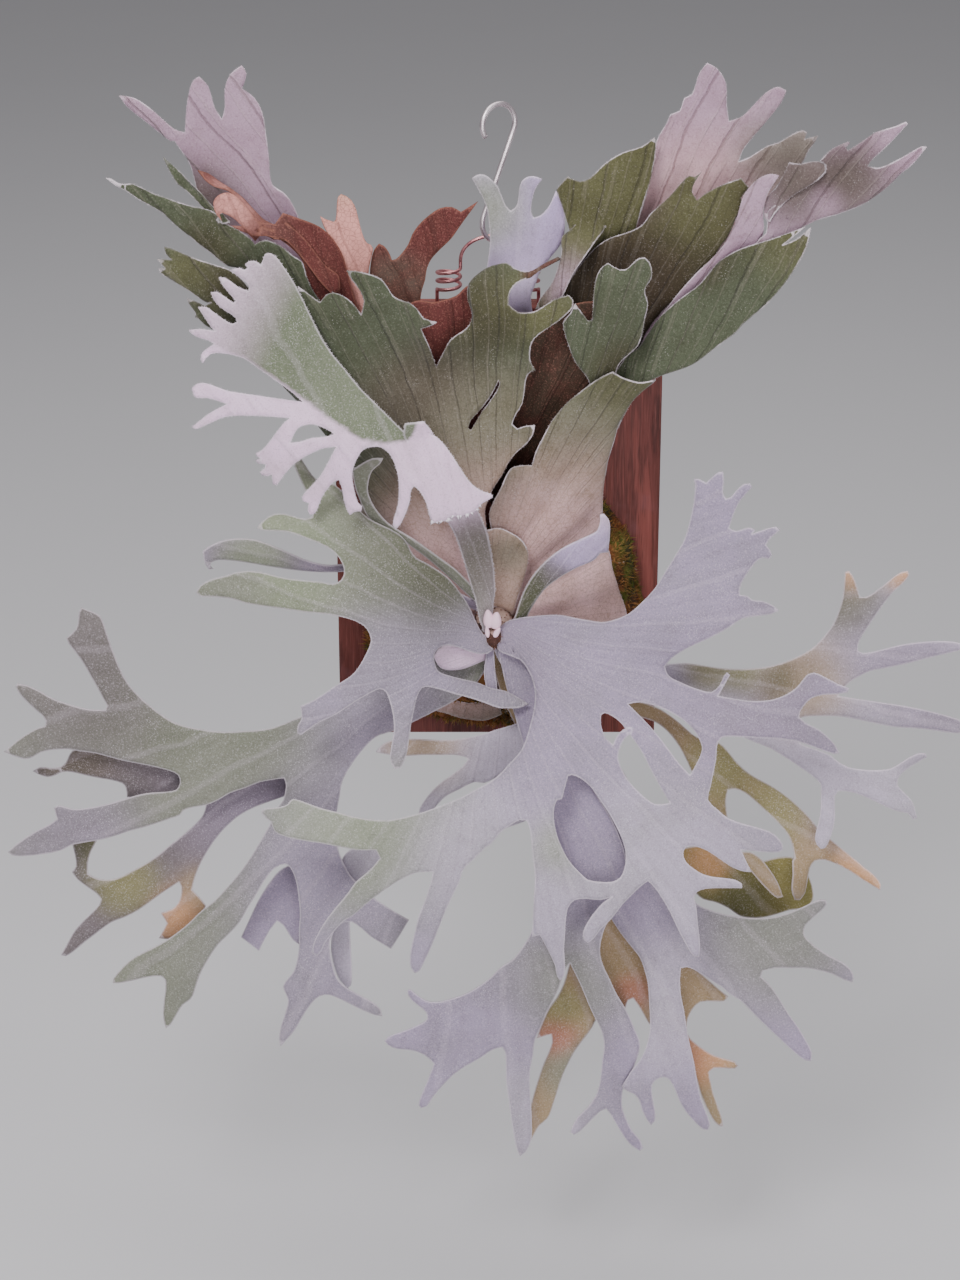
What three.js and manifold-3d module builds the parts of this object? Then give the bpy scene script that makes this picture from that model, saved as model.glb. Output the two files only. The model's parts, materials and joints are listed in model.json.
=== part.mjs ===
// A staghorn fern mounted on a board, hung by a copper wire from a steel S-hook.
//
// Millimetres, +Z up. The board's back face lies in the plane y = 0 with its centre at the origin,
// and the plant grows towards -Y.
//
// The board, wire, hook, root ball and bud are built from sizes. Each leaf is drafted: its margin is
// a smooth closed curve through hand-placed points on a drawing sheet, and its depth marks say how far
// its middle surface stands in front of the board. The leaf is then a thin blade of even thickness.

import * as THREE from 'three';
import { mergeVertices } from 'three/addons/utils/BufferGeometryUtils.js';
import Module from 'manifold-3d';

const wasm = await Module();
wasm.setup();

// ---------------------------------------------------------------------------------------------
// Driving dimensions
// ---------------------------------------------------------------------------------------------

const BOARD_WIDTH = 254;
const BOARD_HEIGHT = 356;
const BOARD_THICKNESS = 25;

const WIRE_DIAMETER = 2.8;
const WIRE_HOLE_DIAMETER = 3.6;
const WIRE_HOLE_DEPTH = 20;
const WIRE_LEFT_X = -47;
const WIRE_RIGHT_X = 31;
const WIRE_CURL_RADIUS = 9;
const WIRE_CURL_PITCH = 6.5;
const WIRE_CURL_TURNS = 2;
const WIRE_CURL_START = 11;
const WIRE_APEX_HEIGHT = 53;
// the arch falls away on both sides of the hook's rod, so the hook sits this much lower
const HOOK_DROP = 0.4;

const HOOK_DIAMETER = 4.2;
const HOOK_BEND_RADIUS = 15;
const HOOK_BEND_SPACING = 75;
const HOOK_TURN = THREE.MathUtils.degToRad(35);

const MOUND_RADIUS_X = 108;
const MOUND_RADIUS_Z = 105;
const MOUND_DEPTH = 62;
const MOUND_SQUARENESS = 2.9;
const MOUND_CENTRE_X = 3.5;
const MOUND_CENTRE_Z = -62.7;

const BUD_RADIUS = 15;
const BUD_TIP_RADIUS = 7.5;
const BUD_REACH = 116;
const BUD_CENTRE_X = -3;
const BUD_CENTRE_Z = -52;

const SEATING_GAP = 0.3;
const ANTLER_THICKNESS = 1.6;
const SHIELD_THICKNESS = 1.3;

// The drawing sheet: 960 x 1280 steps, one step is 0.8 mm at the board's face. It is seen from a
// point 2.4 m away and 22 degrees above, straight in front, and AIM lies at the middle of the sheet.
const SHEET_STEP = 0.8;
const SHEET_MIDDLE = { x: 480, y: 640 };
const SIGHT_ELEVATION = THREE.MathUtils.degToRad(22);
const SIGHT_DISTANCE = 2400;
const AIM = new THREE.Vector3(-14, -BOARD_THICKNESS, -97);

const MARGIN_STEP = 22;
const STRAIGHT_TOLERANCE = 0.7;
const LATTICE_STEP = 33;

// ---------------------------------------------------------------------------------------------
// Solids: joining and cutting
// ---------------------------------------------------------------------------------------------

function toSolid(geometry) {
  const bare = new THREE.BufferGeometry();
  bare.setAttribute('position', geometry.getAttribute('position'));
  if (geometry.index) bare.setIndex(geometry.index);
  const merged = mergeVertices(bare, 1e-4);
  return new wasm.Manifold(new wasm.Mesh({
    numProp: 3,
    vertProperties: new Float32Array(merged.getAttribute('position').array),
    triVerts: new Uint32Array(merged.index.array),
  }));
}

// The largest body of a solid, without the loose scraps that a cut can leave.
function largestBody(solid) {
  const { vertProperties, triVerts, numProp } = solid.getMesh();
  const merged = new THREE.BufferGeometry();
  const positions = [];
  for (let i = 0; i < vertProperties.length; i += numProp) {
    positions.push(vertProperties[i], vertProperties[i + 1], vertProperties[i + 2]);
  }
  const parent = Array.from({ length: positions.length / 3 }, (_, i) => i);
  const root = (i) => {
    let r = i;
    while (parent[r] !== r) r = parent[r];
    parent[i] = r;
    return r;
  };
  for (let t = 0; t < triVerts.length; t += 3) {
    parent[root(triVerts[t])] = root(triVerts[t + 1]);
    parent[root(triVerts[t + 1])] = root(triVerts[t + 2]);
  }
  const counts = new Map();
  for (let t = 0; t < triVerts.length; t += 3) {
    const r = root(triVerts[t]);
    counts.set(r, (counts.get(r) ?? 0) + 1);
  }
  const largest = [...counts.entries()].sort((a, b) => b[1] - a[1])[0][0];
  const kept = [];
  for (let t = 0; t < triVerts.length; t += 3) {
    if (root(triVerts[t]) === largest) kept.push(triVerts[t], triVerts[t + 1], triVerts[t + 2]);
  }
  merged.setAttribute('position', new THREE.Float32BufferAttribute(positions, 3));
  merged.setIndex(kept);
  return merged;
}

// ---------------------------------------------------------------------------------------------
// The drawing sheet
// ---------------------------------------------------------------------------------------------

// The point seen at (x, y) on the sheet that stands `depth` mm in front of the board's face.
function sight(x, y, depth) {
  const right = (x - SHEET_MIDDLE.x) * SHEET_STEP / SIGHT_DISTANCE;
  const up = (SHEET_MIDDLE.y - y) * SHEET_STEP / SIGHT_DISTANCE;
  const cos = Math.cos(SIGHT_ELEVATION);
  const sin = Math.sin(SIGHT_ELEVATION);
  const eye = new THREE.Vector3(AIM.x, AIM.y - SIGHT_DISTANCE * cos, AIM.z + SIGHT_DISTANCE * sin);
  const ray = new THREE.Vector3(right, cos + sin * up, -sin + cos * up);
  const plane = -BOARD_THICKNESS - depth;
  return eye.addScaledVector(ray, (plane - eye.y) / ray.y);
}

function pairs(flat) {
  const points = [];
  for (let i = 0; i < flat.length; i += 2) points.push(new THREE.Vector2(flat[i], flat[i + 1]));
  return points;
}

// A smooth closed margin through hand-placed points, cut into steps of about MARGIN_STEP.
function smoothMargin(flat) {
  const points = pairs(flat).map((p) => new THREE.Vector3(p.x, p.y, 0));
  const curve = new THREE.CatmullRomCurve3(points, true, 'centripetal');
  const margin = [];
  points.forEach((point, i) => {
    const next = points[(i + 1) % points.length];
    const steps = Math.max(1, Math.round(point.distanceTo(next) / MARGIN_STEP));
    for (let k = 0; k < steps; k += 1) {
      const at = curve.getPoint((i + k / steps) / points.length);
      margin.push(new THREE.Vector2(at.x, at.y));
    }
  });
  return withoutStraightPoints(margin);
}

// Leaves out the points that a short straight stretch of margin does not need.
function withoutStraightPoints(margin) {
  const kept = [margin[0]];
  for (let i = 1; i < margin.length; i += 1) {
    const last = kept[kept.length - 1];
    const next = margin[(i + 1) % margin.length];
    const chord = next.clone().sub(last);
    const toPoint = margin[i].clone().sub(last);
    const offset = Math.abs(chord.x * toPoint.y - chord.y * toPoint.x) / chord.length();
    if (offset > STRAIGHT_TOLERANCE || chord.length() > MARGIN_STEP * 1.3) kept.push(margin[i]);
  }
  return kept;
}

function insidePolygon(point, polygon) {
  let inside = false;
  for (let i = 0, j = polygon.length - 1; i < polygon.length; j = i, i += 1) {
    const a = polygon[i];
    const b = polygon[j];
    if ((a.y > point.y) !== (b.y > point.y)
      && point.x < (b.x - a.x) * (point.y - a.y) / (b.y - a.y) + a.x) inside = !inside;
  }
  return inside;
}

function distanceToLoop(point, loop) {
  let least = Infinity;
  for (let i = 0; i < loop.length; i += 1) {
    const a = loop[i];
    const b = loop[(i + 1) % loop.length];
    const along = b.clone().sub(a);
    const t = THREE.MathUtils.clamp(point.clone().sub(a).dot(along) / along.lengthSq(), 0, 1);
    least = Math.min(least, point.distanceTo(a.clone().addScaledVector(along, t)));
  }
  return least;
}

function latticePoints(outline, holes) {
  const box = new THREE.Box2().setFromPoints(outline);
  const inner = [];
  const rise = LATTICE_STEP * Math.sqrt(3) / 2;
  const clearance = LATTICE_STEP * 0.52;
  for (let row = 0; box.min.y + row * rise < box.max.y; row += 1) {
    for (let column = 0; box.min.x + column * LATTICE_STEP < box.max.x; column += 1) {
      const x = box.min.x + (column + (row % 2) / 2) * LATTICE_STEP;
      const point = new THREE.Vector2(x, box.min.y + row * rise);
      const isInside = insidePolygon(point, outline) && !holes.some((hole) => insidePolygon(point, hole));
      const loops = [outline, ...holes];
      if (isInside && loops.every((loop) => distanceToLoop(point, loop) > clearance)) inner.push(point);
    }
  }
  return inner;
}

const cross = (a, b, c) => (b.x - a.x) * (c.y - a.y) - (b.y - a.y) * (c.x - a.x);

function insideCircle(a, b, c, d) {
  const rows = [a, b, c].map((p) => {
    const x = p.x - d.x;
    const y = p.y - d.y;
    return [x, y, x * x + y * y];
  });
  const [p, q, r] = rows;
  const det = p[0] * (q[1] * r[2] - q[2] * r[1]) - p[1] * (q[0] * r[2] - q[2] * r[0])
    + p[2] * (q[0] * r[1] - q[1] * r[0]);
  return det > 1e-6;
}

// Even triangles over an outline with holes: the outline's own triangles first, then the lattice
// points put in one by one, then edges flipped until no triangle's circle holds another point.
function triangulate(outline, holes, inner) {
  const points = [...outline, ...holes.flat(), ...inner];
  let faces = THREE.ShapeUtils.triangulateShape(outline, holes).map(([a, b, c]) => (
    cross(points[a], points[b], points[c]) > 0 ? [a, b, c] : [a, c, b]
  ));
  faces = faces.filter(([a, b, c]) => cross(points[a], points[b], points[c]) > 1e-9);
  const firstInner = points.length - inner.length;
  inner.forEach((point, i) => {
    const index = firstInner + i;
    const host = faces.findIndex(([a, b, c]) => cross(points[a], points[b], point) > 0
      && cross(points[b], points[c], point) > 0 && cross(points[c], points[a], point) > 0);
    if (host < 0) return;
    const [a, b, c] = faces[host];
    faces[host] = [a, b, index];
    faces.push([b, c, index], [c, a, index]);
  });
  for (let pass = 0; pass < 60; pass += 1) {
    const edges = new Map();
    faces.forEach((face, f) => face.forEach((v, k) => edges.set(`${v},${face[(k + 1) % 3]}`, [f, k])));
    const touched = new Set();
    let flips = 0;
    edges.forEach(([f, k], key) => {
      const [from, to] = key.split(',').map(Number);
      const twin = edges.get(`${to},${from}`);
      if (!twin || from > to || touched.has(f) || touched.has(twin[0])) return;
      const apex = faces[f][(k + 2) % 3];
      const far = faces[twin[0]][(twin[1] + 2) % 3];
      const [A, B, C, F] = [from, to, apex, far].map((v) => points[v]);
      if (!insideCircle(A, B, C, F)) return;
      if (cross(C, A, F) <= 1e-9 || cross(F, B, C) <= 1e-9) return;
      faces[f] = [apex, from, far];
      faces[twin[0]] = [far, to, apex];
      touched.add(f);
      touched.add(twin[0]);
      flips += 1;
    });
    if (!flips) break;
  }
  return { points, faces };
}

// ---------------------------------------------------------------------------------------------
// Depth over a leaf: a thin plate bent through its depth marks
// ---------------------------------------------------------------------------------------------

function solveLinear(matrix, values) {
  const size = values.length;
  const rows = matrix.map((row, i) => [...row, values[i]]);
  for (let column = 0; column < size; column += 1) {
    let pivot = column;
    for (let r = column + 1; r < size; r += 1) {
      if (Math.abs(rows[r][column]) > Math.abs(rows[pivot][column])) pivot = r;
    }
    [rows[column], rows[pivot]] = [rows[pivot], rows[column]];
    for (let r = 0; r < size; r += 1) {
      if (r === column) continue;
      const factor = rows[r][column] / rows[column][column];
      if (!factor) continue;
      for (let k = column; k <= size; k += 1) rows[r][k] -= factor * rows[column][k];
    }
  }
  return rows.map((row, i) => row[size] / row[i]);
}

function plateThrough(flatMarks) {
  const marks = [];
  for (let i = 0; i < flatMarks.length; i += 3) {
    marks.push([flatMarks[i] / 100, flatMarks[i + 1] / 100, flatMarks[i + 2]]);
  }
  const bend = (r2) => (r2 > 0 ? r2 * Math.log(r2) : 0);
  const count = marks.length;
  const matrix = marks.map(([x, y]) => [...marks.map(([u, v]) => bend((x - u) ** 2 + (y - v) ** 2)), 1, x, y]);
  matrix.push([...marks.map(() => 1), 0, 0, 0]);
  matrix.push([...marks.map(([x]) => x), 0, 0, 0]);
  matrix.push([...marks.map(([, y]) => y), 0, 0, 0]);
  const weights = solveLinear(matrix, [...marks.map((mark) => mark[2]), 0, 0, 0]);
  return (px, py) => {
    const x = px / 100;
    const y = py / 100;
    let depth = weights[count] + weights[count + 1] * x + weights[count + 2] * y;
    marks.forEach(([u, v], i) => { depth += weights[i] * bend((x - u) ** 2 + (y - v) ** 2); });
    return depth;
  };
}

// ---------------------------------------------------------------------------------------------
// A blade: one drafted sheet with thickness
// ---------------------------------------------------------------------------------------------

function bladeGeometry({ margin, holes = [], marks }, thickness) {
  const outline = smoothMargin(margin);
  const openings = holes.map(smoothMargin);
  const { points, faces } = triangulate(outline, openings, latticePoints(outline, openings));
  const depthAt = plateThrough(marks);
  const middle = points.map((p) => sight(p.x, p.y, depthAt(p.x, p.y)));
  const normals = middle.map(() => new THREE.Vector3());
  faces.forEach(([a, b, c]) => {
    // the sheet's y runs down, so this order faces the front
    const ab = middle[c].clone().sub(middle[a]);
    const ac = middle[b].clone().sub(middle[a]);
    const normal = ab.cross(ac);
    [a, b, c].forEach((v) => normals[v].add(normal));
  });
  normals.forEach((normal) => normal.normalize());
  const front = middle.map((p, i) => p.clone().addScaledVector(normals[i], thickness / 2));
  const back = middle.map((p, i) => p.clone().addScaledVector(normals[i], -thickness / 2));
  const count = points.length;
  const index = [];
  faces.forEach(([a, b, c]) => {
    index.push(a, c, b);
    index.push(a + count, b + count, c + count);
  });
  const used = new Set();
  faces.forEach((face) => face.forEach((v, k) => used.add(`${v},${face[(k + 1) % 3]}`)));
  used.forEach((key) => {
    const [a, b] = key.split(',').map(Number);
    if (used.has(`${b},${a}`)) return;
    index.push(a, b, b + count);
    index.push(a, b + count, a + count);
  });
  const geometry = new THREE.BufferGeometry();
  const flat = [...front, ...back].flatMap((p) => [p.x, p.y, p.z]);
  geometry.setAttribute('position', new THREE.Float32BufferAttribute(flat, 3));
  geometry.setIndex(index);
  return geometry;
}

// ---------------------------------------------------------------------------------------------
// The made things: board, wire and hook
// ---------------------------------------------------------------------------------------------

const materials = {
  wood: new THREE.MeshStandardMaterial({ color: 0x6b302b, roughness: 0.75, metalness: 0 }),
  copper: new THREE.MeshStandardMaterial({ color: 0xc98d86, roughness: 0.4, metalness: 0.9 }),
  steel: new THREE.MeshStandardMaterial({ color: 0xc9c6c8, roughness: 0.35, metalness: 0.9 }),
  moss: new THREE.MeshStandardMaterial({ color: 0x6f5f38, roughness: 1, metalness: 0 }),
  bud: new THREE.MeshStandardMaterial({ color: 0x4a2f28, roughness: 0.9, metalness: 0 }),
  antler: new THREE.MeshStandardMaterial({ color: 0xb3adb6, roughness: 0.85, metalness: 0 }),
  shield: new THREE.MeshStandardMaterial({ color: 0x7d7c62, roughness: 0.8, metalness: 0 }),
  pale: new THREE.MeshStandardMaterial({ color: 0xc0aeb8, roughness: 0.8, metalness: 0 }),
  dead: new THREE.MeshStandardMaterial({ color: 0x7a3c33, roughness: 0.85, metalness: 0 }),
  salmon: new THREE.MeshStandardMaterial({ color: 0xdba89c, roughness: 0.85, metalness: 0 }),
};

function boardGeometry() {
  const slab = new THREE.BoxGeometry(BOARD_WIDTH, BOARD_THICKNESS, BOARD_HEIGHT);
  slab.translate(0, -BOARD_THICKNESS / 2, 0);
  let solid = toSolid(slab);
  for (const side of [-1, 1]) {
    const drill = new THREE.CylinderGeometry(WIRE_HOLE_DIAMETER / 2, WIRE_HOLE_DIAMETER / 2,
      WIRE_HOLE_DEPTH * 2, 12);
    drill.rotateX(Math.PI / 2);
    drill.translate(side < 0 ? WIRE_LEFT_X : WIRE_RIGHT_X, -BOARD_THICKNESS / 2, BOARD_HEIGHT / 2);
    solid = solid.subtract(toSolid(drill));
  }
  return largestBody(solid);
}

function roundWire(points, diameter, steps, sides) {
  const section = new THREE.Shape();
  for (let i = 0; i < sides; i += 1) {
    const angle = (i / sides) * Math.PI * 2;
    const x = Math.cos(angle) * diameter / 2;
    const y = Math.sin(angle) * diameter / 2;
    if (i) section.lineTo(x, y);
    else section.moveTo(x, y);
  }
  const path = new THREE.CatmullRomCurve3(points, false, 'centripetal');
  return new THREE.ExtrudeGeometry(section, { steps, bevelEnabled: false, extrudePath: path });
}

// One leg, from the bottom of its hole up through its curl to where the arch begins.
function wireLeg(side) {
  const y = -BOARD_THICKNESS / 2;
  const top = BOARD_HEIGHT / 2;
  const legX = side < 0 ? WIRE_LEFT_X : WIRE_RIGHT_X;
  const curlX = legX - side * WIRE_CURL_RADIUS;
  const points = [
    new THREE.Vector3(legX, y, top - WIRE_HOLE_DEPTH + 2),
    new THREE.Vector3(legX, y, top - WIRE_HOLE_DEPTH / 2),
    new THREE.Vector3(legX, y, top),
  ];
  const perTurn = 10;
  const count = Math.round(perTurn * (WIRE_CURL_TURNS + 0.5));
  for (let i = 0; i <= count; i += 1) {
    const turn = i / perTurn;
    const angle = turn * Math.PI * 2;
    points.push(new THREE.Vector3(
      curlX + side * Math.cos(angle) * WIRE_CURL_RADIUS,
      y - Math.sin(angle) * WIRE_CURL_RADIUS,
      top + WIRE_CURL_START + turn * WIRE_CURL_PITCH,
    ));
  }
  return points;
}

function hangerWireGeometry() {
  const apex = BOARD_HEIGHT / 2 + WIRE_APEX_HEIGHT;
  const y = -BOARD_THICKNESS / 2;
  const left = wireLeg(-1);
  const right = wireLeg(1).reverse();
  const springZ = left[left.length - 1].z;
  const arch = [];
  const count = 8;
  for (let i = 1; i < count; i += 1) {
    const angle = Math.PI * (1 - i / count);
    // the crown is over the board's middle, nearer the right curl than the left one
    const foot = Math.cos(angle) < 0
      ? -WIRE_LEFT_X - 2 * WIRE_CURL_RADIUS
      : WIRE_RIGHT_X - 2 * WIRE_CURL_RADIUS;
    arch.push(new THREE.Vector3(Math.cos(angle) * foot, y,
      springZ + 4 + (apex - springZ - 4) * Math.sin(angle) ** 0.8));
  }
  return roundWire([...left, ...arch, ...right], WIRE_DIAMETER, 100, 6);
}

// The hook is two round bends joined by a straight, in one upright plane turned by HOOK_TURN.
function hookGeometry() {
  const wireTop = BOARD_HEIGHT / 2 + WIRE_APEX_HEIGHT;
  const rest = (HOOK_DIAMETER + WIRE_DIAMETER) / 2 + SEATING_GAP;
  const lowerZ = wireTop - rest - HOOK_DROP + HOOK_BEND_RADIUS;
  const upperZ = lowerZ + HOOK_BEND_SPACING;
  const lean = Math.asin(2 * HOOK_BEND_RADIUS / HOOK_BEND_SPACING);
  const inPlane = [];
  const bend = (z, from, to) => {
    const count = 12;
    for (let i = 0; i <= count; i += 1) {
      const angle = from + (to - from) * i / count;
      inPlane.push([Math.cos(angle) * HOOK_BEND_RADIUS, z + Math.sin(angle) * HOOK_BEND_RADIUS]);
    }
  };
  bend(upperZ, THREE.MathUtils.degToRad(215), -lean);
  bend(lowerZ, Math.PI - lean, THREE.MathUtils.degToRad(385));
  const points = inPlane.map(([u, z]) => new THREE.Vector3(
    u * Math.cos(HOOK_TURN), u * Math.sin(HOOK_TURN) - BOARD_THICKNESS / 2, z));
  return roundWire(points, HOOK_DIAMETER, 44, 8);
}

// ---------------------------------------------------------------------------------------------
// The root ball and the bud
// ---------------------------------------------------------------------------------------------

// The mossy mound: a low dome with lumps, flat against the board.
function moundGeometry(grow = 0) {
  const rings = 9;
  const around = 36;
  const flat = [];
  const index = [];
  const lump = (angle, r) => 1 + 0.035 * Math.sin(5 * angle + 2 * r) * r + 0.02 * Math.sin(11 * angle - 4 * r) * r;
  flat.push(MOUND_CENTRE_X, -BOARD_THICKNESS - SEATING_GAP - MOUND_DEPTH - grow, MOUND_CENTRE_Z);
  for (let ring = 1; ring <= rings; ring += 1) {
    const polar = (ring / rings) * Math.PI / 2;
    for (let k = 0; k < around; k += 1) {
      const angle = (k / around) * Math.PI * 2;
      const shoulder = (Math.abs(Math.cos(angle)) ** MOUND_SQUARENESS
        + Math.abs(Math.sin(angle)) ** MOUND_SQUARENESS) ** (-1 / MOUND_SQUARENESS);
      const size = lump(angle, ring / rings) * shoulder;
      const depth = ring === rings ? 0 : Math.cos(polar) * (MOUND_DEPTH + grow);
      flat.push(
        MOUND_CENTRE_X + Math.cos(angle) * Math.sin(polar) * (MOUND_RADIUS_X * size + grow),
        -BOARD_THICKNESS - SEATING_GAP - depth,
        MOUND_CENTRE_Z + Math.sin(angle) * Math.sin(polar) * (MOUND_RADIUS_Z * size + grow),
      );
    }
  }
  flat.push(MOUND_CENTRE_X, -BOARD_THICKNESS - SEATING_GAP, MOUND_CENTRE_Z);
  const last = flat.length / 3 - 1;
  for (let k = 0; k < around; k += 1) {
    const next = (k + 1) % around;
    index.push(0, 1 + k, 1 + next);
    for (let ring = 1; ring < rings; ring += 1) {
      const a = 1 + (ring - 1) * around;
      const b = a + around;
      index.push(a + k, b + k, b + next, a + k, b + next, a + next);
    }
    const rim = 1 + (rings - 1) * around;
    index.push(rim + k, last, rim + next);
  }
  const geometry = new THREE.BufferGeometry();
  geometry.setAttribute('position', new THREE.Float32BufferAttribute(flat, 3));
  geometry.setIndex(index);
  return geometry;
}

// The bud: a stubby creeping stem that stands out of the mound, rounded at its tip.
function budStem(grow) {
  const foot = MOUND_DEPTH - 22;
  const profile = [
    [0, foot],
    [BUD_RADIUS + grow, foot],
    [BUD_RADIUS + grow, BUD_REACH - 28],
    [BUD_RADIUS * 0.72 + grow, BUD_REACH - 19],
    [BUD_TIP_RADIUS + grow, BUD_REACH - 12],
    [BUD_TIP_RADIUS + grow, BUD_REACH - 5],
    [BUD_TIP_RADIUS * 0.6 + grow, BUD_REACH - 1],
    [0, BUD_REACH + grow],
  ];
  const lathe = new THREE.LatheGeometry(profile.map(([r, d]) => new THREE.Vector2(r, d)), 16);
  lathe.scale(1, -1, 1);
  lathe.index.array.reverse();
  lathe.translate(BUD_CENTRE_X, -BOARD_THICKNESS, BUD_CENTRE_Z);
  return lathe;
}

const moundKeepOut = toSolid(moundGeometry(SEATING_GAP));
const budKeepOut = toSolid(budStem(SEATING_GAP));

function budGeometry() {
  let solid = toSolid(budStem(0));
  const scales = 9;
  const golden = Math.PI * (3 - Math.sqrt(5));
  for (let i = 0; i < scales; i += 1) {
    const scale = new THREE.ConeGeometry(1.7, 7, 5);
    const angle = i * golden;
    scale.rotateX(Math.PI * 0.9);
    scale.translate(0, -BUD_REACH - 1.5, BUD_TIP_RADIUS * (0.08 + 0.2 * i / scales));
    scale.rotateY(angle);
    scale.translate(BUD_CENTRE_X, -BOARD_THICKNESS, BUD_CENTRE_Z);
    solid = solid.add(toSolid(scale));
  }
  return largestBody(solid.subtract(moundKeepOut));
}

// ---------------------------------------------------------------------------------------------
// The leaves, as drafted: margins are x, y pairs on the sheet, marks are x, y, depth in mm
// ---------------------------------------------------------------------------------------------

// The front antler frond: one long stalk that forks to both sides and down.
const antlerFront = {
  margin: [
    494, 632, 503, 624, 510, 620, 520, 619, 535, 616, 548, 615, 560, 615, 575, 618, 590, 620.5, 605, 622, 618, 618,
    628, 614, 640, 604, 655, 588, 665, 572, 675, 556, 684, 540, 690, 520, 694, 500, 695, 485, 694, 479, 698, 479,
    706, 483, 714, 477, 719, 472, 723, 472, 724, 480, 723, 493, 726, 499, 731, 497, 736, 491, 744, 484, 750, 483.5,
    752, 487, 745, 495, 738, 504, 733, 517, 729, 528, 736, 531, 745, 529, 750, 527.5, 755, 530, 752, 534, 758, 533,
    768, 530, 776, 527, 780, 530, 775, 535, 769, 540, 766, 545, 770, 550, 772, 555, 769, 559, 762, 558, 758, 560,
    752, 568, 745, 577, 740, 588, 740, 595, 748, 596, 752, 600, 762, 601, 772, 605, 779, 610, 772, 614, 758, 616,
    742, 619, 730, 627, 712, 637, 690, 647, 672, 658, 665, 666, 668, 675, 680, 682, 700, 690, 712, 692, 720, 685,
    724, 676, 727, 672.5, 730, 675, 728, 680, 723, 688, 718, 696, 730, 698, 750, 701, 770, 700, 785, 695, 797, 687,
    803, 680, 808, 674, 814, 672.5, 820, 675, 826, 679, 838, 684, 849, 688, 848, 692, 838, 694, 822, 695, 812, 698,
    806, 703, 800, 712, 799, 717, 806, 723, 818, 729, 828, 737, 836, 746, 839, 753, 835, 754, 822, 750, 808, 745,
    795, 741, 780, 739, 760, 738, 742, 737, 730, 736.5, 722, 737.5, 718, 742, 716, 760, 713, 775, 710, 790, 708, 800,
    716, 808, 728, 818, 740, 822, 755, 827, 768, 831, 776, 836, 782, 843, 783, 849, 779, 852, 765, 852, 750, 851,
    741, 850, 746, 860, 751, 872, 742, 871, 730, 866, 718, 857, 708, 851, 703, 849, 694, 846, 686, 847, 683, 853,
    686, 862, 694, 869, 702, 874, 712, 877, 725, 878, 735, 880, 742, 884, 742, 888, 735, 888.5, 720, 888, 705, 889,
    697, 892, 694, 897, 696, 905, 698, 925, 700, 945, 699, 957, 694, 956, 688, 948, 683, 938, 676, 925, 670, 912,
    662, 898, 655, 888, 648, 881, 640, 887, 632, 895, 622, 905, 612, 918, 600, 930, 594, 938, 588, 943, 584, 940,
    583, 933, 588, 922, 595, 912, 603, 903, 612, 897, 600, 900, 588, 899, 575, 900, 568, 908, 566, 920, 565, 935,
    564, 950, 565, 965, 564, 976, 560, 980, 557, 975, 555, 965, 550, 955, 545, 945, 540, 935, 532, 937, 532, 930,
    533, 920, 534, 905, 534, 895, 535, 880, 534, 865, 532, 850, 531, 835, 530, 830, 527, 821, 520, 820, 512, 824,
    500, 833, 492, 843, 485, 848, 475, 858, 463, 870, 460, 880, 455, 890, 448, 905, 440, 925, 432, 945, 425, 960,
    419, 971, 415, 973, 411, 968, 410, 955, 414, 935, 419, 915, 425, 900, 430, 885, 433, 872, 420, 872, 410, 875,
    395, 883, 378, 895, 365, 905, 352, 916, 345, 920, 335, 930, 325, 943, 322, 950, 317, 956, 312, 953, 313, 945,
    320, 930, 330, 915, 340, 903, 348, 893, 355, 883, 370, 870, 380, 858, 376, 850, 357, 850, 340, 847, 320, 843,
    300, 840, 285, 836, 280, 834, 275, 832, 271, 822, 266, 818, 261, 812, 263, 809, 272, 808, 280, 807, 288, 804,
    290, 801, 293, 799, 305, 803, 320, 808, 340, 813, 355, 817, 375, 820, 390, 820, 405, 817, 420, 813, 440, 806,
    460, 798, 475, 790, 490, 782, 500, 774, 510, 763, 520, 752, 525, 742, 527, 733, 531, 722, 534, 710, 535, 695,
    533, 682, 528, 670, 520, 660, 508, 654, 498, 650,
  ],
  holes: [
    [628, 704, 640, 702, 656, 706, 672, 713, 688, 724, 698, 737, 702, 750, 697, 762, 690, 775, 678, 762, 660, 738,
      645, 721, 636, 712],
    [601, 715, 605, 713, 612, 716, 620, 722, 630, 735, 642, 752, 652, 772, 662, 790, 670, 803, 655, 804, 640, 793,
      628, 780, 620, 765, 618, 757, 620, 749, 623, 741, 628, 736, 634, 731, 631, 728, 624, 729, 617, 736, 613, 745,
      605, 737, 601, 725],
    [568, 776, 572, 775, 580, 778, 590, 786, 600, 800, 610, 815, 618, 830, 624, 845, 626, 858, 624, 870, 620, 878,
      612, 882, 600, 882, 588, 880, 580, 873, 570, 862, 562, 848, 557, 835, 554, 820, 554, 808, 557, 800, 562, 799,
      565, 790, 567, 780],
  ],
  marks: [
    494, 640, 112, 530, 640, 122, 560, 700, 165, 575, 660, 148, 620, 650, 148, 560, 830, 213, 560, 975, 205,
    400, 830, 215, 270, 815, 205, 313, 950, 210, 413, 970, 208, 720, 715, 188, 849, 688, 185, 839, 752, 190,
    700, 560, 134, 720, 475, 128, 750, 485, 130, 778, 530, 138, 778, 608, 152, 665, 666, 150, 700, 628, 156,
    655, 635, 152, 690, 800, 206, 660, 860, 212, 783, 848, 215, 742, 885, 213, 698, 957, 215, 588, 942, 220,
    480, 800, 212, 600, 760, 190, 660, 720, 176,
  ],
};

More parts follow.
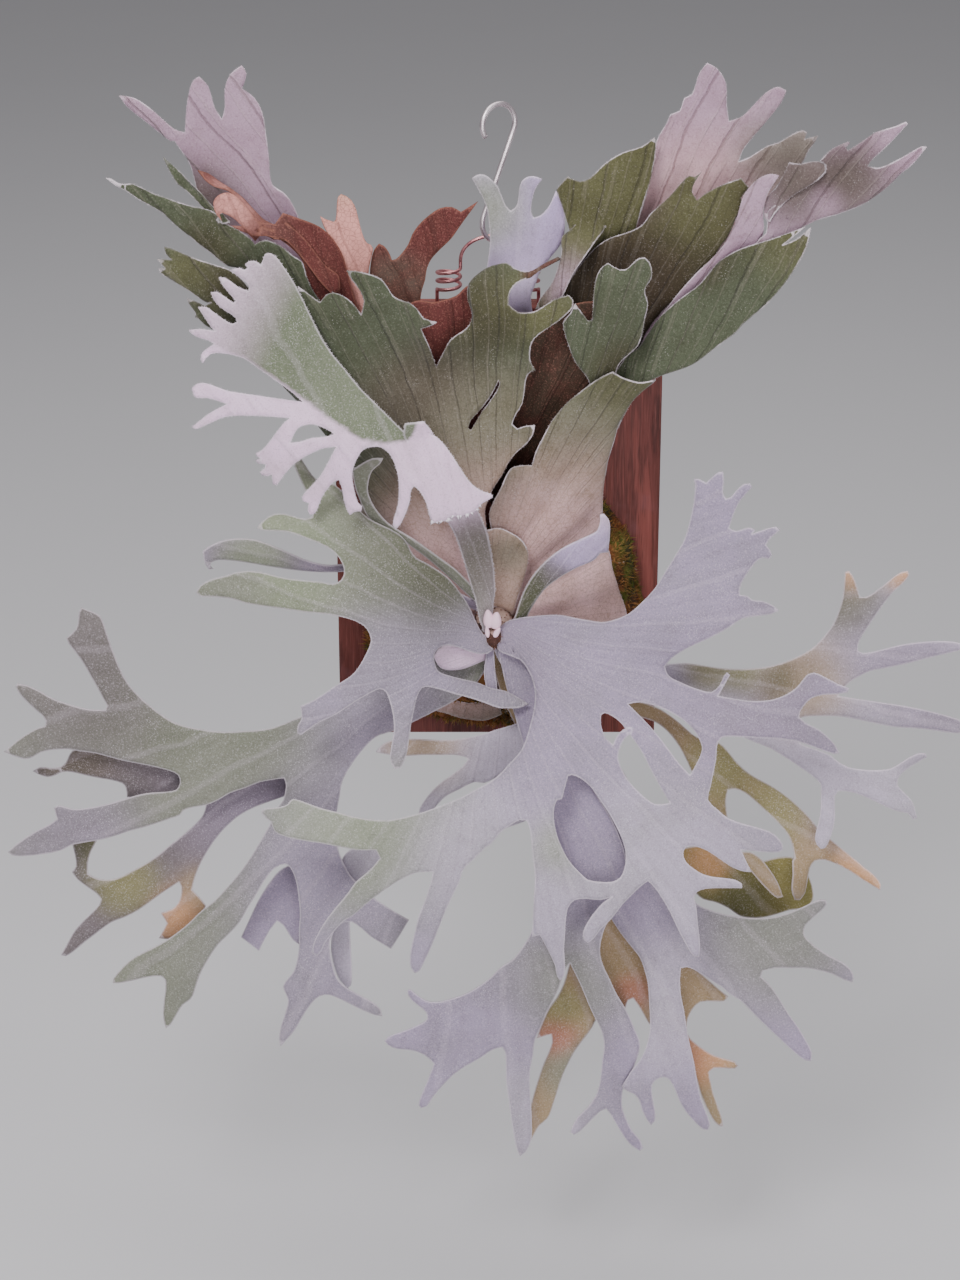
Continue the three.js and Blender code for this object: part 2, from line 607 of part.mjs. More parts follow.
// The left upper antler frond.
const antlerLeft = {
  margin: [
    492, 636, 483, 634, 476, 622, 468, 605, 458, 590, 447, 577, 435, 569, 424, 562, 416, 558, 410, 550, 408, 545,
    402, 537, 392, 530, 380, 524, 368, 518, 350, 500, 335, 485, 316, 479, 303, 461, 296, 452, 293, 460, 306, 492,
    313, 510, 312, 517, 305, 519, 295, 516, 285, 514, 275, 514, 268, 517, 260, 524, 257, 528, 262, 530, 275, 531,
    288, 532, 300, 536, 313, 541, 325, 546, 335, 553, 342, 563, 344, 573, 341, 580, 333, 584, 322, 582, 300, 580,
    280, 577, 265, 573, 250, 571, 238, 572, 225, 576, 210, 580, 200, 586, 196, 593, 200, 596, 215, 597, 232, 599,
    245, 603, 262, 606, 285, 609, 305, 612, 325, 614, 342, 617, 355, 621, 364, 626, 369, 633, 371, 641, 367, 652,
    361, 663, 354, 673, 345, 680, 335, 686, 322, 695, 308, 703, 300, 706, 301, 713, 302, 718, 298, 725, 297, 733,
    301, 735, 308, 730, 320, 722, 335, 715, 350, 705, 362, 698, 372, 692, 380, 689, 386, 692, 390, 702, 393, 715,
    394, 730, 392, 745, 390, 755, 391, 763, 395, 769, 400, 768, 404, 762, 407, 752, 409, 740, 411, 725, 414, 710,
    417, 697, 422, 688, 430, 687, 442, 690, 455, 694, 470, 698, 485, 703, 500, 708, 517, 708, 529, 704, 513, 695,
    505, 691, 490, 688, 478, 683, 465, 680, 450, 676, 438, 671, 435, 664, 434, 655,
    438, 648.5, 446, 645, 460, 648, 474, 653, 486, 654, 493, 650,
  ],
  marks: [
    492, 642, 112, 470, 640, 116, 440, 610, 130, 400, 620, 148, 258, 525, 140, 196, 593, 150, 298, 730, 175,
    395, 768, 190, 350, 510, 122, 296, 455, 112, 517, 706, 142, 440, 682, 146, 380, 660, 160, 330, 600, 148,
  ],
};

// The left lower antler frond.
const antlerLowerLeft = {
  margin: [
    490, 624, 470, 640, 430, 656, 390, 672, 350, 690, 320, 705, 302, 716, 290, 721, 275, 727, 260, 730, 245, 731,
    225, 732, 205, 730, 185, 726, 170, 720, 158, 712, 148, 704, 138, 695, 130, 686, 122, 673, 117, 660, 112, 648,
    107, 634, 103, 622, 100, 616, 93, 612, 85, 609, 81, 607.5, 79, 612, 78, 622, 76, 629, 70, 634, 66.5, 638,
    69, 644, 74, 650, 80, 658, 86, 668, 92, 678, 98, 690, 104, 700, 107, 706, 105, 710, 98, 710, 88, 709, 75, 706,
    62, 702, 50, 697, 38, 690, 26, 685, 18, 683.5, 15.5, 686, 20, 694, 28, 702, 36, 710, 43, 716, 46, 721, 45, 726,
    38, 728, 28, 734, 18, 740, 8, 748, 4, 752, 10, 753, 18, 756, 25, 759, 33, 757, 42, 752, 52, 750, 65, 749,
    80, 751, 95, 753, 110, 757, 125, 761, 140, 764, 155, 767, 170, 771, 178, 775, 180, 783, 176, 790, 165, 792,
    150, 793, 135, 796, 122, 800, 108, 804, 95, 807, 82, 809, 72, 809, 65, 807, 58, 805.5, 54, 808, 56, 814, 57, 819,
    50, 824, 38, 830, 25, 838, 14, 846, 8, 852, 12, 855, 22, 856, 35, 855, 50, 853, 62, 850, 72, 845, 85, 842,
    100, 840, 115, 836, 130, 831, 145, 827, 160, 822, 172, 818, 180, 815, 183, 811, 190, 808, 200, 806, 206, 805,
    218, 800, 230, 793, 245, 788, 260, 782, 275, 779, 284, 778, 286, 785, 283, 797, 283, 800, 278, 807, 271, 822,
    265, 832, 258, 845, 250, 858, 240, 872, 228, 886, 215, 900, 200, 912, 190, 922, 178, 932, 165, 941, 150, 949,
    138, 955, 128, 962, 120, 970, 113, 979, 113, 983, 120, 983, 135, 980, 150, 977, 160, 976, 165, 980, 165, 990,
    164, 1000, 163, 1012, 164, 1022, 166, 1028, 171, 1024, 177, 1014, 183, 1005, 190, 1000, 193, 996, 195, 988,
    200, 975, 208, 960, 218, 945, 228, 935, 240, 922, 248, 908, 256, 895, 265, 880, 275, 868, 285, 864, 288, 865,
    293, 872, 297, 885, 299, 900, 300, 915, 299, 930, 299, 945, 297, 960, 293, 972, 288, 980, 283, 986, 285, 992,
    288, 1000, 285, 1012, 281, 1025, 279, 1040, 281, 1046, 287, 1040, 295, 1030, 303, 1016, 312, 1003, 320, 996,
    330, 995, 340, 999, 352, 1005, 365, 1011, 375, 1015, 382, 1016, 381, 1010, 372, 1002, 360, 996, 350, 990,
    342, 984, 337, 978, 333, 965, 330, 950, 331, 938, 340, 924, 352, 922, 370, 936, 391, 949, 400, 935, 409, 920,
    390, 909, 372, 897, 357, 883, 350, 875, 342, 860, 338, 848, 337, 812, 340, 795, 343, 780, 350, 768, 357, 757,
    365, 747, 372, 740, 380, 735, 390, 732, 415, 721, 435, 711, 470, 690, 489, 662, 493, 640,
  ],
  marks: [
    494, 634, 93, 470, 665, 97, 380, 720, 117, 250, 760, 130, 85, 610, 110, 16, 686, 115, 5, 752, 120,
    8, 852, 130, 115, 980, 150, 165, 1028, 155, 281, 1046, 165, 382, 1015, 165, 405, 922, 160, 345, 860, 152,
    150, 740, 122, 120, 800, 126, 230, 870, 140,
  ],
};

// The antler frond behind the left lower one.
const antlerBehindLeft = {
  margin: [
    490, 622, 470, 632, 440, 648, 390, 676, 340, 706, 290, 734, 230, 746, 160, 745, 110, 744, 72, 751, 70, 756,
    66, 762, 60, 767, 50, 768, 40, 767, 33, 771, 38, 774, 48, 777, 56, 775, 62, 772, 72, 772, 85, 775, 100, 778,
    115, 781, 122, 783, 126, 788, 127, 797, 150, 800, 180, 800, 206, 805, 203, 815, 195, 823, 185, 833, 170, 845,
    158, 855, 145, 864, 130, 872, 118, 878, 105, 880, 95, 878, 88, 874, 88, 864, 91, 852, 98, 839, 85, 833, 72, 843,
    75, 855, 76, 866, 72, 872, 78, 880, 88, 888, 97, 894, 101, 899, 99, 905, 92, 912, 84, 920, 75, 930, 68, 942,
    61, 955, 66, 956, 75, 950, 85, 942, 98, 932, 112, 922, 125, 917, 140, 909, 152, 901, 162, 893, 172, 886,
    179, 882, 181, 886, 181, 895, 178, 903, 172, 909, 161, 913, 164, 918, 167, 923, 163, 930, 159, 938, 170, 939,
    185, 931, 198, 919, 206, 906, 200, 898, 192, 890, 195, 878, 200, 865, 207, 852, 215, 840, 225, 828, 240, 815,
    255, 807, 268, 802, 290, 794, 330, 772, 362, 742, 400, 716, 440, 697, 480, 670, 494, 650, 496, 632,
  ],
  marks: [
    492, 630, 86, 470, 655, 88, 390, 705, 101, 290, 765, 112, 180, 778, 108, 61, 955, 118, 165, 918, 121,
    33, 771, 98, 90, 862, 112, 72, 755, 101, 200, 850, 116,
  ],
};

// The crest frond: its stalk climbs from the bud, folds over at the top and throws branches back left,
// while its pale lobes hang in front of the stalk.
const antlerCrest = {
  margin: [
    425, 433.5, 418, 436, 412, 438, 400, 428, 385, 413, 372, 400, 360, 388, 352, 378, 343, 367, 333, 355, 323, 340,
    315, 325, 308, 312, 303, 300, 298, 290, 294, 283, 288, 275, 280, 262, 275, 256, 270, 253, 265, 254, 263, 260,
    261, 265, 255, 261, 250, 261, 245, 264, 248, 268, 244, 270, 240, 268, 232, 269, 230, 270, 236, 274, 243, 280,
    249, 286, 249, 291, 240, 288, 232, 283, 225, 278, 219, 277, 222, 284, 228, 292, 236, 301, 233, 303, 225, 297,
    217, 292, 211, 292, 213, 298, 220, 307, 228, 313, 236, 318, 237, 322, 232, 324, 222, 318, 212, 311, 206, 307,
    198, 307, 200, 311, 206, 320, 212, 328, 215, 331, 200, 329, 189, 330, 192, 334, 200, 338, 210, 341, 214, 344,
    210, 347, 204, 351, 201, 355, 201, 360, 203, 363, 206, 358, 211, 354, 220, 353, 232, 355, 243, 358, 255, 366,
    268, 375, 282, 385, 293, 393, 303, 402, 295, 401, 280, 399, 260, 396, 240, 393, 228, 391, 215, 386, 205, 383,
    197, 384, 192, 388, 193, 392, 194, 396, 197, 398, 207, 398, 218, 401, 227, 404, 220, 408, 210, 413, 201, 420,
    195, 424, 192, 427, 195, 429, 202, 427, 212, 422, 222, 418, 232, 416, 245, 416, 260, 416, 275, 417, 290, 418,
    283, 424, 277, 432, 270, 441, 262, 450, 256, 453, 257, 456, 261, 458, 256, 460, 258, 463, 266, 464, 265, 468,
    260, 472, 262, 475, 268, 476, 272, 474, 272, 480, 273, 484, 277, 485, 281, 480, 287, 473, 293, 465, 300, 460,
    312, 453, 325, 448, 336, 447, 330, 458, 325, 468, 318, 479, 310, 488, 302, 497, 303, 501, 309, 503, 308, 510,
    310, 515, 315, 513, 318, 505, 322, 497, 328, 488, 335, 481, 339, 480, 342, 488, 344, 500, 347, 510, 350, 515,
    354, 512, 361, 511, 362, 507, 358, 503, 356, 495, 353, 485, 352, 475, 354, 465, 358, 457, 364, 449, 380, 447,
    388, 452, 394, 462, 398, 475, 399, 490, 398, 505, 396, 515, 393, 525, 396, 529, 401, 523, 406, 512, 410, 500,
    411, 490, 414, 486, 419, 490, 424, 498, 428, 508, 430, 518, 434, 523, 440, 521, 446, 521, 450, 516, 458, 516,
    466, 514, 475, 511, 480, 505, 488, 500, 493, 497, 491, 494, 484, 492, 475, 487, 468, 480, 460, 468, 453, 457,
    447, 449, 440, 440, 433, 435,
  ],
  holes: [
    [290, 443, 294, 435, 298, 428, 305, 425, 313, 424, 322, 427, 330, 431, 334, 434, 325, 437, 312, 438, 300, 442],
  ],
  marks: [
    290, 418, 140, 340, 432, 148, 365, 443, 152, 410, 439, 150, 430, 434, 149, 350, 400, 136, 300, 340, 120,
    230, 300, 109, 190, 330, 105, 195, 390, 120, 193, 427, 125, 265, 470, 136, 300, 400, 130, 440, 480, 156,
    440, 518, 154, 490, 496, 152, 395, 500, 152, 350, 508, 146, 308, 508, 142, 275, 256, 106,
  ],
};
const crestStalk = {
  margin: [
    405, 424, 404, 436, 420, 460, 435, 490, 446, 518, 455, 535, 462, 555, 468, 575, 474, 595, 479, 617, 484, 634,
    496, 634, 493, 615, 493, 605, 495, 590, 494, 570, 491, 550, 486, 530, 480, 515, 470, 495, 455, 470, 440, 448,
    432, 432, 424, 422,
  ],
  marks: [
    490, 630, 104, 484, 590, 106, 478, 560, 111, 466, 525, 124, 450, 490, 134, 432, 462, 141, 420, 444, 147,
    414, 425, 155,
  ],
};

// The right back antler frond.
const antlerRightBack = {
  margin: [
    496, 622, 510, 630, 540, 640, 600, 652, 640, 660, 666, 664, 685, 663, 700, 665, 720, 668, 740, 669, 758, 668,
    775, 665, 790, 660, 803, 654, 815, 646, 825, 635, 833, 624, 839, 610, 843, 595, 844, 580, 845, 572, 849, 571,
    853, 576, 857, 588, 860, 597, 866, 597, 875, 592, 885, 584, 895, 576, 902, 572, 908, 571, 909, 575, 903, 583,
    893, 592, 885, 602, 878, 612, 870, 624, 862, 636, 858, 645, 858, 651, 863, 653, 870, 652, 880, 650, 900, 645,
    920, 642, 940, 641, 955, 642, 972, 647, 960, 650, 940, 655, 920, 660, 900, 665, 880, 669, 870, 671, 860, 677,
    850, 682, 842, 690, 838, 696, 850, 698, 865, 700, 885, 703, 905, 706, 925, 710, 945, 715, 960, 720, 975, 727,
    960, 733, 940, 731, 915, 728, 895, 727, 870, 722, 850, 718, 835, 716, 820, 716, 805, 716.5, 790, 722, 800, 743,
    815, 749, 830, 755, 840, 763, 852, 768, 865, 769, 880, 770, 892, 768, 900, 763, 910, 757, 920, 753, 926, 753.5,
    927, 757, 920, 761, 910, 767, 902, 773, 898, 779, 898, 786, 905, 793, 912, 801, 915, 810, 917, 818, 913, 819,
    907, 813, 897, 811, 885, 806, 870, 799, 855, 793, 845, 791, 838, 791, 835, 796, 835, 810, 834, 825, 831, 833,
    828, 842, 825, 848, 821, 849, 817, 845, 815, 838, 817, 828, 820, 815, 821, 800, 821, 790, 820, 783, 812, 776,
    800, 767, 785, 757, 770, 748, 755, 742, 700, 716, 640, 686, 580, 670, 530, 656, 505, 648, 496, 638,
  ],
  marks: [
    498, 630, 89, 540, 650, 93, 620, 668, 102, 690, 688, 112, 760, 680, 120, 849, 571, 110, 908, 571, 115,
    972, 647, 130, 975, 727, 135, 770, 745, 127, 927, 755, 140, 917, 819, 145, 821, 849, 151, 840, 660, 122,
  ],
};

// The right lower antler frond.
const antlerRightLower = {
  margin: [
    496, 620, 505, 632, 545, 655, 590, 680, 627, 698, 645, 703, 662, 710, 680, 723, 697, 737, 718, 742, 727, 750,
    735, 760, 745, 770, 757, 778, 770, 785, 785, 795, 797, 805, 810, 818, 818, 828, 830, 838, 835, 843, 842, 849,
    852, 857, 865, 868, 875, 876, 881, 885, 880, 890, 872, 886, 860, 878, 848, 870, 835, 864, 825, 860, 815, 861,
    810, 868, 808, 880, 805, 893, 800, 900, 795, 900, 792, 890, 793, 875, 793, 860, 795, 858, 793, 848, 788, 835,
    780, 825, 770, 815, 757, 803, 745, 793, 735, 789, 728, 790, 726, 800, 728, 820, 741, 852, 750, 852, 760, 858,
    770, 870, 778, 883, 783, 897, 778, 898, 768, 890, 757, 878, 748, 868, 740, 858, 722, 836, 712, 812, 700, 790,
    690, 768, 680, 748, 668, 732, 655, 722, 640, 717, 600, 702, 550, 682, 508, 655, 494, 640,
  ],
  marks: [
    498, 628, 83, 540, 665, 87, 640, 710, 101, 720, 770, 118, 800, 830, 130, 798, 900, 138, 881, 889, 145,
    783, 898, 148, 590, 690, 93,
  ],
};

// The lower antler frond, below the front one.
const antlerLower = {
  margin: [
    494, 636, 500, 660, 507, 690, 516, 720, 527, 760, 534, 800, 537, 850, 536, 900, 532, 930, 527, 940, 520, 950, 512, 960,
    500, 968, 490, 978, 478, 987, 465, 994, 450, 999, 435, 1002, 425, 1000, 417, 995, 410, 989, 407.5, 990,
    408, 995, 414, 1002, 421, 1007, 426, 1012, 427, 1018, 422, 1023, 410, 1028, 398, 1033, 388, 1037, 384.5, 1041,
    388, 1045, 398, 1049, 410, 1050, 420, 1053, 428, 1058, 434, 1064, 432, 1071, 427, 1082, 422, 1095, 418.5, 1105,
    421, 1108, 427, 1106, 433, 1097, 440, 1089, 448, 1080, 460, 1070, 470, 1064, 482, 1057, 492, 1050, 502, 1047,
    505, 1052, 506, 1065, 506, 1080, 508, 1095, 510, 1110, 513, 1130, 517, 1150, 520, 1156, 526, 1151, 531, 1140,
    532, 1128, 531, 1105, 530, 1090, 530, 1070, 533, 1055, 535, 1040, 540, 1028, 548, 1010, 553, 1000, 558, 990,
    563, 978, 566, 968, 570, 963, 575, 972, 582, 988, 588, 1003, 595, 1018, 601, 1030, 604, 1045, 602, 1060,
    600, 1080, 596, 1095, 588, 1107, 578, 1117, 573, 1125, 570.5, 1132, 574, 1134.5, 580, 1131, 590, 1121,
    600, 1112, 606, 1109, 610, 1114, 616, 1125, 624, 1137, 632, 1146, 640, 1151, 643, 1148, 640, 1140, 633, 1132,
    628, 1122, 623, 1110, 622, 1098, 624, 1087, 634, 1066, 640, 1045, 636, 1032, 630, 1020, 625, 1008, 617, 995,
    610, 980, 603, 965, 600, 950, 606, 925, 620, 905, 628, 880, 624, 850, 612, 820, 593, 788, 572, 740, 548, 690,
    522, 655, 502, 636,
  ],
  marks: [
    495, 645, 106, 512, 690, 120, 545, 740, 154, 580, 800, 178, 580, 880, 190, 540, 960, 186, 388, 1041, 185,
    421, 1107, 185, 520, 1155, 178, 572, 1133, 172, 641, 1150, 172, 600, 1000, 182, 560, 1000, 184,
  ],
};

// The lower right antler frond.
const antlerLowerRight = {
  margin: [
    497, 626, 500, 650, 506, 674, 532, 720, 560, 775, 585, 830, 598, 880, 608, 910, 611, 918, 620, 932, 630, 945,
    640, 958, 645, 972, 648, 985, 649, 1000, 650, 1015, 650, 1028, 648, 1040, 645, 1050, 640, 1060, 632, 1070,
    622, 1086, 624, 1089, 632, 1093, 638, 1098, 642, 1110, 647, 1120, 651, 1125, 655, 1121, 655, 1110, 653, 1098,
    652, 1085, 657, 1079, 664, 1077, 670, 1080, 675, 1090, 680, 1102, 687, 1113, 695, 1122, 703, 1129, 708, 1130,
    710, 1125, 705, 1110, 701, 1098, 697, 1080, 694, 1062, 690, 1045, 687, 1030, 684, 1010, 681, 995, 680, 980,
    681, 968, 687, 967, 695, 970, 703, 975, 712, 981, 722, 987, 730, 994, 740, 1000, 752, 1012, 765, 1025,
    780, 1039, 793, 1051, 805, 1060, 811, 1061, 812, 1053, 807, 1042, 798, 1027, 788, 1013, 779, 998, 770, 985,
    761, 977, 763, 971, 775, 968, 790, 968, 805, 968, 818, 970, 832, 974, 845, 980, 852, 982, 854, 978, 851, 970,
    842, 962, 830, 956, 818, 948, 808, 940, 804, 933, 806, 925, 813, 918, 822, 910, 827, 904, 826, 900, 820, 899.5,
    812, 903, 803, 907, 792, 912, 780, 916, 765, 918, 750, 918, 735, 916, 720, 913, 705, 908, 697, 904, 680, 880,
    650, 830, 610, 765, 565, 710, 525, 665, 500, 630,
  ],
  marks: [
    495, 636, 95, 540, 705, 104, 580, 770, 122, 615, 840, 142, 640, 950, 165, 640, 1050, 178, 697, 905, 163,
    826, 902, 175, 853, 980, 180, 811, 1060, 185, 708, 1129, 182, 651, 1124, 180,
  ],
};

// The yellow antler frond at the very back below.
const antlerBottomBack = {
  margin: [
    488, 622, 490, 650, 500, 690, 522, 740, 548, 800, 566, 850, 575, 900, 572, 950, 563, 985, 557, 997, 548, 1010,
    540, 1028, 537, 1038, 545, 1036, 551, 1034, 552, 1042, 548, 1052, 543, 1065, 538, 1080, 532, 1100, 526, 1126,
    527, 1148, 532, 1138, 540, 1125, 548, 1118, 553, 1105, 558, 1090, 563, 1075, 570, 1060, 577, 1048, 585, 1038,
    592, 1028, 597, 1018, 606, 1012, 617, 1008, 625, 1010, 628, 1000, 633, 998, 640, 1008, 650, 1025, 670, 1045,
    686, 1062, 694, 1072, 698, 1085, 701, 1095, 706, 1107, 712, 1118, 719, 1126, 723, 1126, 722, 1118, 717, 1105,
    713, 1092, 710, 1080, 709, 1072, 714, 1068, 725, 1068, 735, 1068.5, 738, 1066, 735, 1062, 725, 1059, 715, 1056,
    705, 1050, 695, 1043, 688, 1035, 688, 1018, 700, 1002, 712, 1001, 724, 1001, 728, 996, 718, 988, 704, 976,
    688, 962, 670, 940, 655, 910, 640, 880, 610, 820, 575, 750, 540, 690, 512, 650, 500, 622,
  ],
  marks: [
    494, 628, 77, 540, 730, 92, 600, 850, 122, 620, 950, 140, 560, 1030, 152, 525, 1135, 156, 650, 1010, 147,
    738, 1066, 150, 723, 1126, 147, 722, 997, 138,
  ],
};

// The small antler leaves.
const antlerSpoon = {
  margin: [
    488, 616, 470, 608, 440, 596, 410, 588, 380, 578, 360, 570, 345, 571, 340, 572, 320, 572, 300, 570.5, 280, 568,
    262, 565, 245, 562, 230, 560, 218, 559.5, 211, 562, 210, 566, 213, 568.5, 209, 569, 205, 563, 203, 555, 203, 551,
    208, 547, 218, 542, 230, 539, 243, 538.5, 256, 540, 268, 544, 280, 549, 290, 554, 300, 558, 315, 563, 330, 565.5,
    345, 564, 360, 562, 380, 567, 410, 577, 440, 586, 470, 598, 490, 608,
  ],
  marks: [490, 613, 76, 440, 590, 87, 380, 572, 97, 340, 568, 100, 250, 550, 108, 205, 556, 112],
};
const antlerYoung = {
  margin: [
    500, 628, 512, 622, 518, 607, 523, 593, 530, 580, 540, 567, 552, 556, 565, 547, 580, 540, 590, 535, 597, 531,
    600, 522, 600, 515, 604, 514, 609, 520, 610, 530, 609, 545, 608, 552, 600, 553, 596, 558, 590, 562, 580, 566,
    565, 574, 553, 582, 543, 591, 535, 603, 529, 613, 522, 628, 505, 640,
  ],
  marks: [505, 632, 104, 530, 598, 104, 570, 556, 104, 605, 545, 102, 603, 516, 106],
};
const antlerBackTop = {
  margin: [
    472, 178, 478, 174.5, 485, 175, 492, 180, 498, 187, 502, 197, 506, 206, 511, 211, 515, 208, 518, 202, 519, 190,
    522, 181, 529, 176.5, 537, 177, 542, 179, 538, 184, 535, 190, 533, 200, 531, 212, 534, 218, 540, 216, 548, 208,
    552, 200, 556, 191, 563, 205, 565, 225, 562, 242, 551, 257, 541, 270, 536, 283, 531, 297, 534, 320, 533, 380,
    530, 440, 524, 500, 518, 512, 502, 512, 500, 480, 500, 400, 496, 330, 488, 285, 487, 268, 488, 260, 490, 245,
    489.5, 230, 488, 215, 485, 203, 481, 195, 476, 186,
  ],
  marks: [480, 180, 34, 550, 205, 29, 512, 240, 27, 512, 320, 22, 515, 420, 14, 510, 510, 14],
};
const antlerCurled = {
  margin: [
    488, 608, 474, 600, 452, 580, 430, 560, 410, 545, 400, 538, 390, 533, 378, 527, 368, 517, 362, 505, 356, 490,
    352, 470, 360, 465, 372, 459, 383, 459, 380, 464, 372, 471, 369, 480, 368, 492, 373, 505, 380, 515, 390, 525,
    398, 530, 412, 538, 432, 552, 456, 570, 478, 592, 492, 602,
  ],
  marks: [489, 606, 84, 440, 566, 93, 395, 532, 103, 362, 490, 113, 375, 462, 122],
};
const antlerCutBehind = {
  margin: [
    486, 618, 484, 646, 440, 668, 390, 700, 345, 735, 320, 770, 306, 805, 296, 840, 288, 866, 283, 868, 275, 875, 268, 885, 260, 897,
    253, 910, 248, 922, 241, 937, 250, 944, 259, 951, 264, 940, 270, 930, 277, 921, 283, 925, 288, 933, 293, 940,
    299, 944, 304, 920, 307, 890, 318, 850, 325, 812, 331, 782, 348, 756, 378, 728, 424, 700, 470, 674, 494, 656,
    498, 622,
  ],
  marks: [492, 624, 76, 480, 660, 77, 430, 685, 83, 350, 745, 96, 305, 860, 108, 250, 935, 122, 295, 935, 124],
};
const antlerInnerLeft = {
  margin: [
    490, 634, 496, 655, 508, 675, 524, 695, 530, 715, 520, 722, 505, 727, 495, 730, 480, 735, 460, 739, 440, 740,
    420, 739, 409, 739, 390, 741, 382, 745, 376, 752, 385, 754, 391, 754, 405, 756, 420, 755, 440, 755, 455, 755,
    465, 757, 468, 759, 463, 766, 453, 774, 443, 781, 433, 790, 425, 800, 420, 808, 419, 816, 432, 810, 445, 797,
    460, 789, 475, 782, 484, 783, 495, 778, 510, 768, 526, 774, 528, 786, 505, 801, 480, 814, 430, 825, 400, 830,
    380, 838, 350, 850, 342, 860, 345, 880, 335, 920, 331, 945, 334, 965, 340, 980, 348, 988, 351, 985, 351, 950,
    350, 925, 352, 905, 358, 885, 372, 872, 380, 862, 400, 855, 440, 850, 500, 830, 545, 810, 562, 780, 562, 740,
    552, 700, 534, 668, 512, 648, 500, 634,
  ],
  marks: [
    495, 642, 100.5, 515, 670, 104, 540, 740, 122, 376, 750, 130, 420, 815, 137, 440, 830, 148, 360, 862, 140,
    340, 960, 132, 460, 745, 127, 530, 800, 136,
  ],
};
const antlerOlive = {
  margin: [
    492, 612, 506, 640, 550, 680, 600, 735, 640, 800, 668, 845, 683, 848, 700, 846, 720, 853, 740, 862, 760, 862,
    775, 858, 790, 857, 800, 862, 811, 882, 813, 900, 805, 908, 790, 910, 770, 916, 755, 918, 740, 916, 728, 908,
    715, 902, 703, 899, 696, 893, 688, 880, 670, 866, 644, 846, 616, 804, 580, 750, 530, 692, 496, 650, 486, 614,
  ],
  marks: [492, 618, 74, 520, 665, 75, 580, 730, 78, 650, 840, 100, 720, 880, 112, 805, 890, 118, 760, 860, 112],
};
const antlerSmallPale = {
  margin: [
    494, 646, 486, 642, 480, 648, 470, 648, 460, 647, 450, 645.5, 443, 646, 438, 650, 434, 657, 438, 665, 443, 669,
    455, 670, 465, 668, 473, 664, 482, 661, 492, 656,
  ],
  marks: [490, 650, 104, 465, 658, 111, 438, 657, 119],
};
const antlerPetiole = {
  margin: [
    487, 646, 485, 662, 484, 672, 485, 682, 488, 694, 497, 697, 497, 684, 495, 670, 494, 646,
  ],
  marks: [490, 650, 109, 490, 672, 116, 492, 694, 123],
};

// The front shield frond: it covers the left and the middle and rises to a lobed top.
const shieldFront = {
  margin: [
    298, 287, 308, 293, 320, 302, 326, 295, 333, 292.5, 343, 296, 352, 302, 358, 309, 361, 314, 364, 300, 360, 290,
    352, 280, 347, 271, 357, 272, 365, 275, 374, 277, 381, 279, 384, 284, 388, 290, 393, 296, 400, 300, 409, 303,
    416, 308, 421, 314, 424, 319, 430, 320, 437, 322, 433, 325, 426, 327, 421, 329, 424, 335, 429, 346, 432, 357,
    436, 367, 440, 358, 445, 348, 450, 339, 458, 333, 466, 328, 471, 321, 472, 312, 469, 300, 468, 288, 471, 280,
    478, 274, 487, 268, 497, 265, 507, 264, 514, 269, 521, 271.5, 529, 272, 545, 263, 558, 257, 561, 259, 550, 264,
    540, 270, 531, 277, 521, 281, 513, 287, 509, 295, 508, 304, 513, 308, 518, 312.5, 527, 313, 536, 311, 545, 306,
    553, 300, 562, 297, 569, 295.5, 573, 300, 573, 306, 566, 313, 558, 321, 548, 328, 538, 335, 532, 342, 530, 352,
    531, 362, 536, 369, 529, 373, 526, 380, 524, 392, 522, 404, 516, 414, 512, 424, 517, 429, 526, 426, 535, 425,
    533, 434, 527, 443, 516, 453, 508, 463, 502, 475, 494, 487, 488, 500, 485, 512, 487, 530, 488, 560, 490, 590,
    493, 620, 492, 645, 486, 660, 490, 690, 498, 703, 502, 714, 488, 719, 470, 719.5, 458, 717, 447, 713, 437, 710.5,
    425, 706, 410, 698, 396, 680, 385, 650, 376, 610, 370, 565, 363, 520, 355, 475, 344, 430, 326, 382, 308, 335,
  ],
  holes: [
    [468, 428, 471, 420, 480, 410, 490, 397, 499, 380, 500, 384, 492, 398, 482, 412, 474, 426, 471, 430],
  ],
  marks: [
    484, 640, 66, 440, 600, 64, 400, 640, 50, 430, 705, 42, 488, 717, 40, 380, 600, 40, 368, 540, 50, 450, 520, 72,
    400, 500, 66, 355, 470, 60, 450, 450, 80, 400, 430, 84, 345, 420, 84, 320, 360, 92, 300, 290, 100, 350, 275, 102,
    335, 293, 98, 400, 350, 84, 436, 367, 74, 437, 322, 94, 470, 300, 68, 505, 265, 60, 560, 258, 54, 490, 350, 74,
    500, 312, 84, 570, 298, 88, 540, 320, 86, 525, 380, 80, 530, 428, 86, 500, 430, 78, 488, 480, 75, 486, 560, 68,
  ],
};

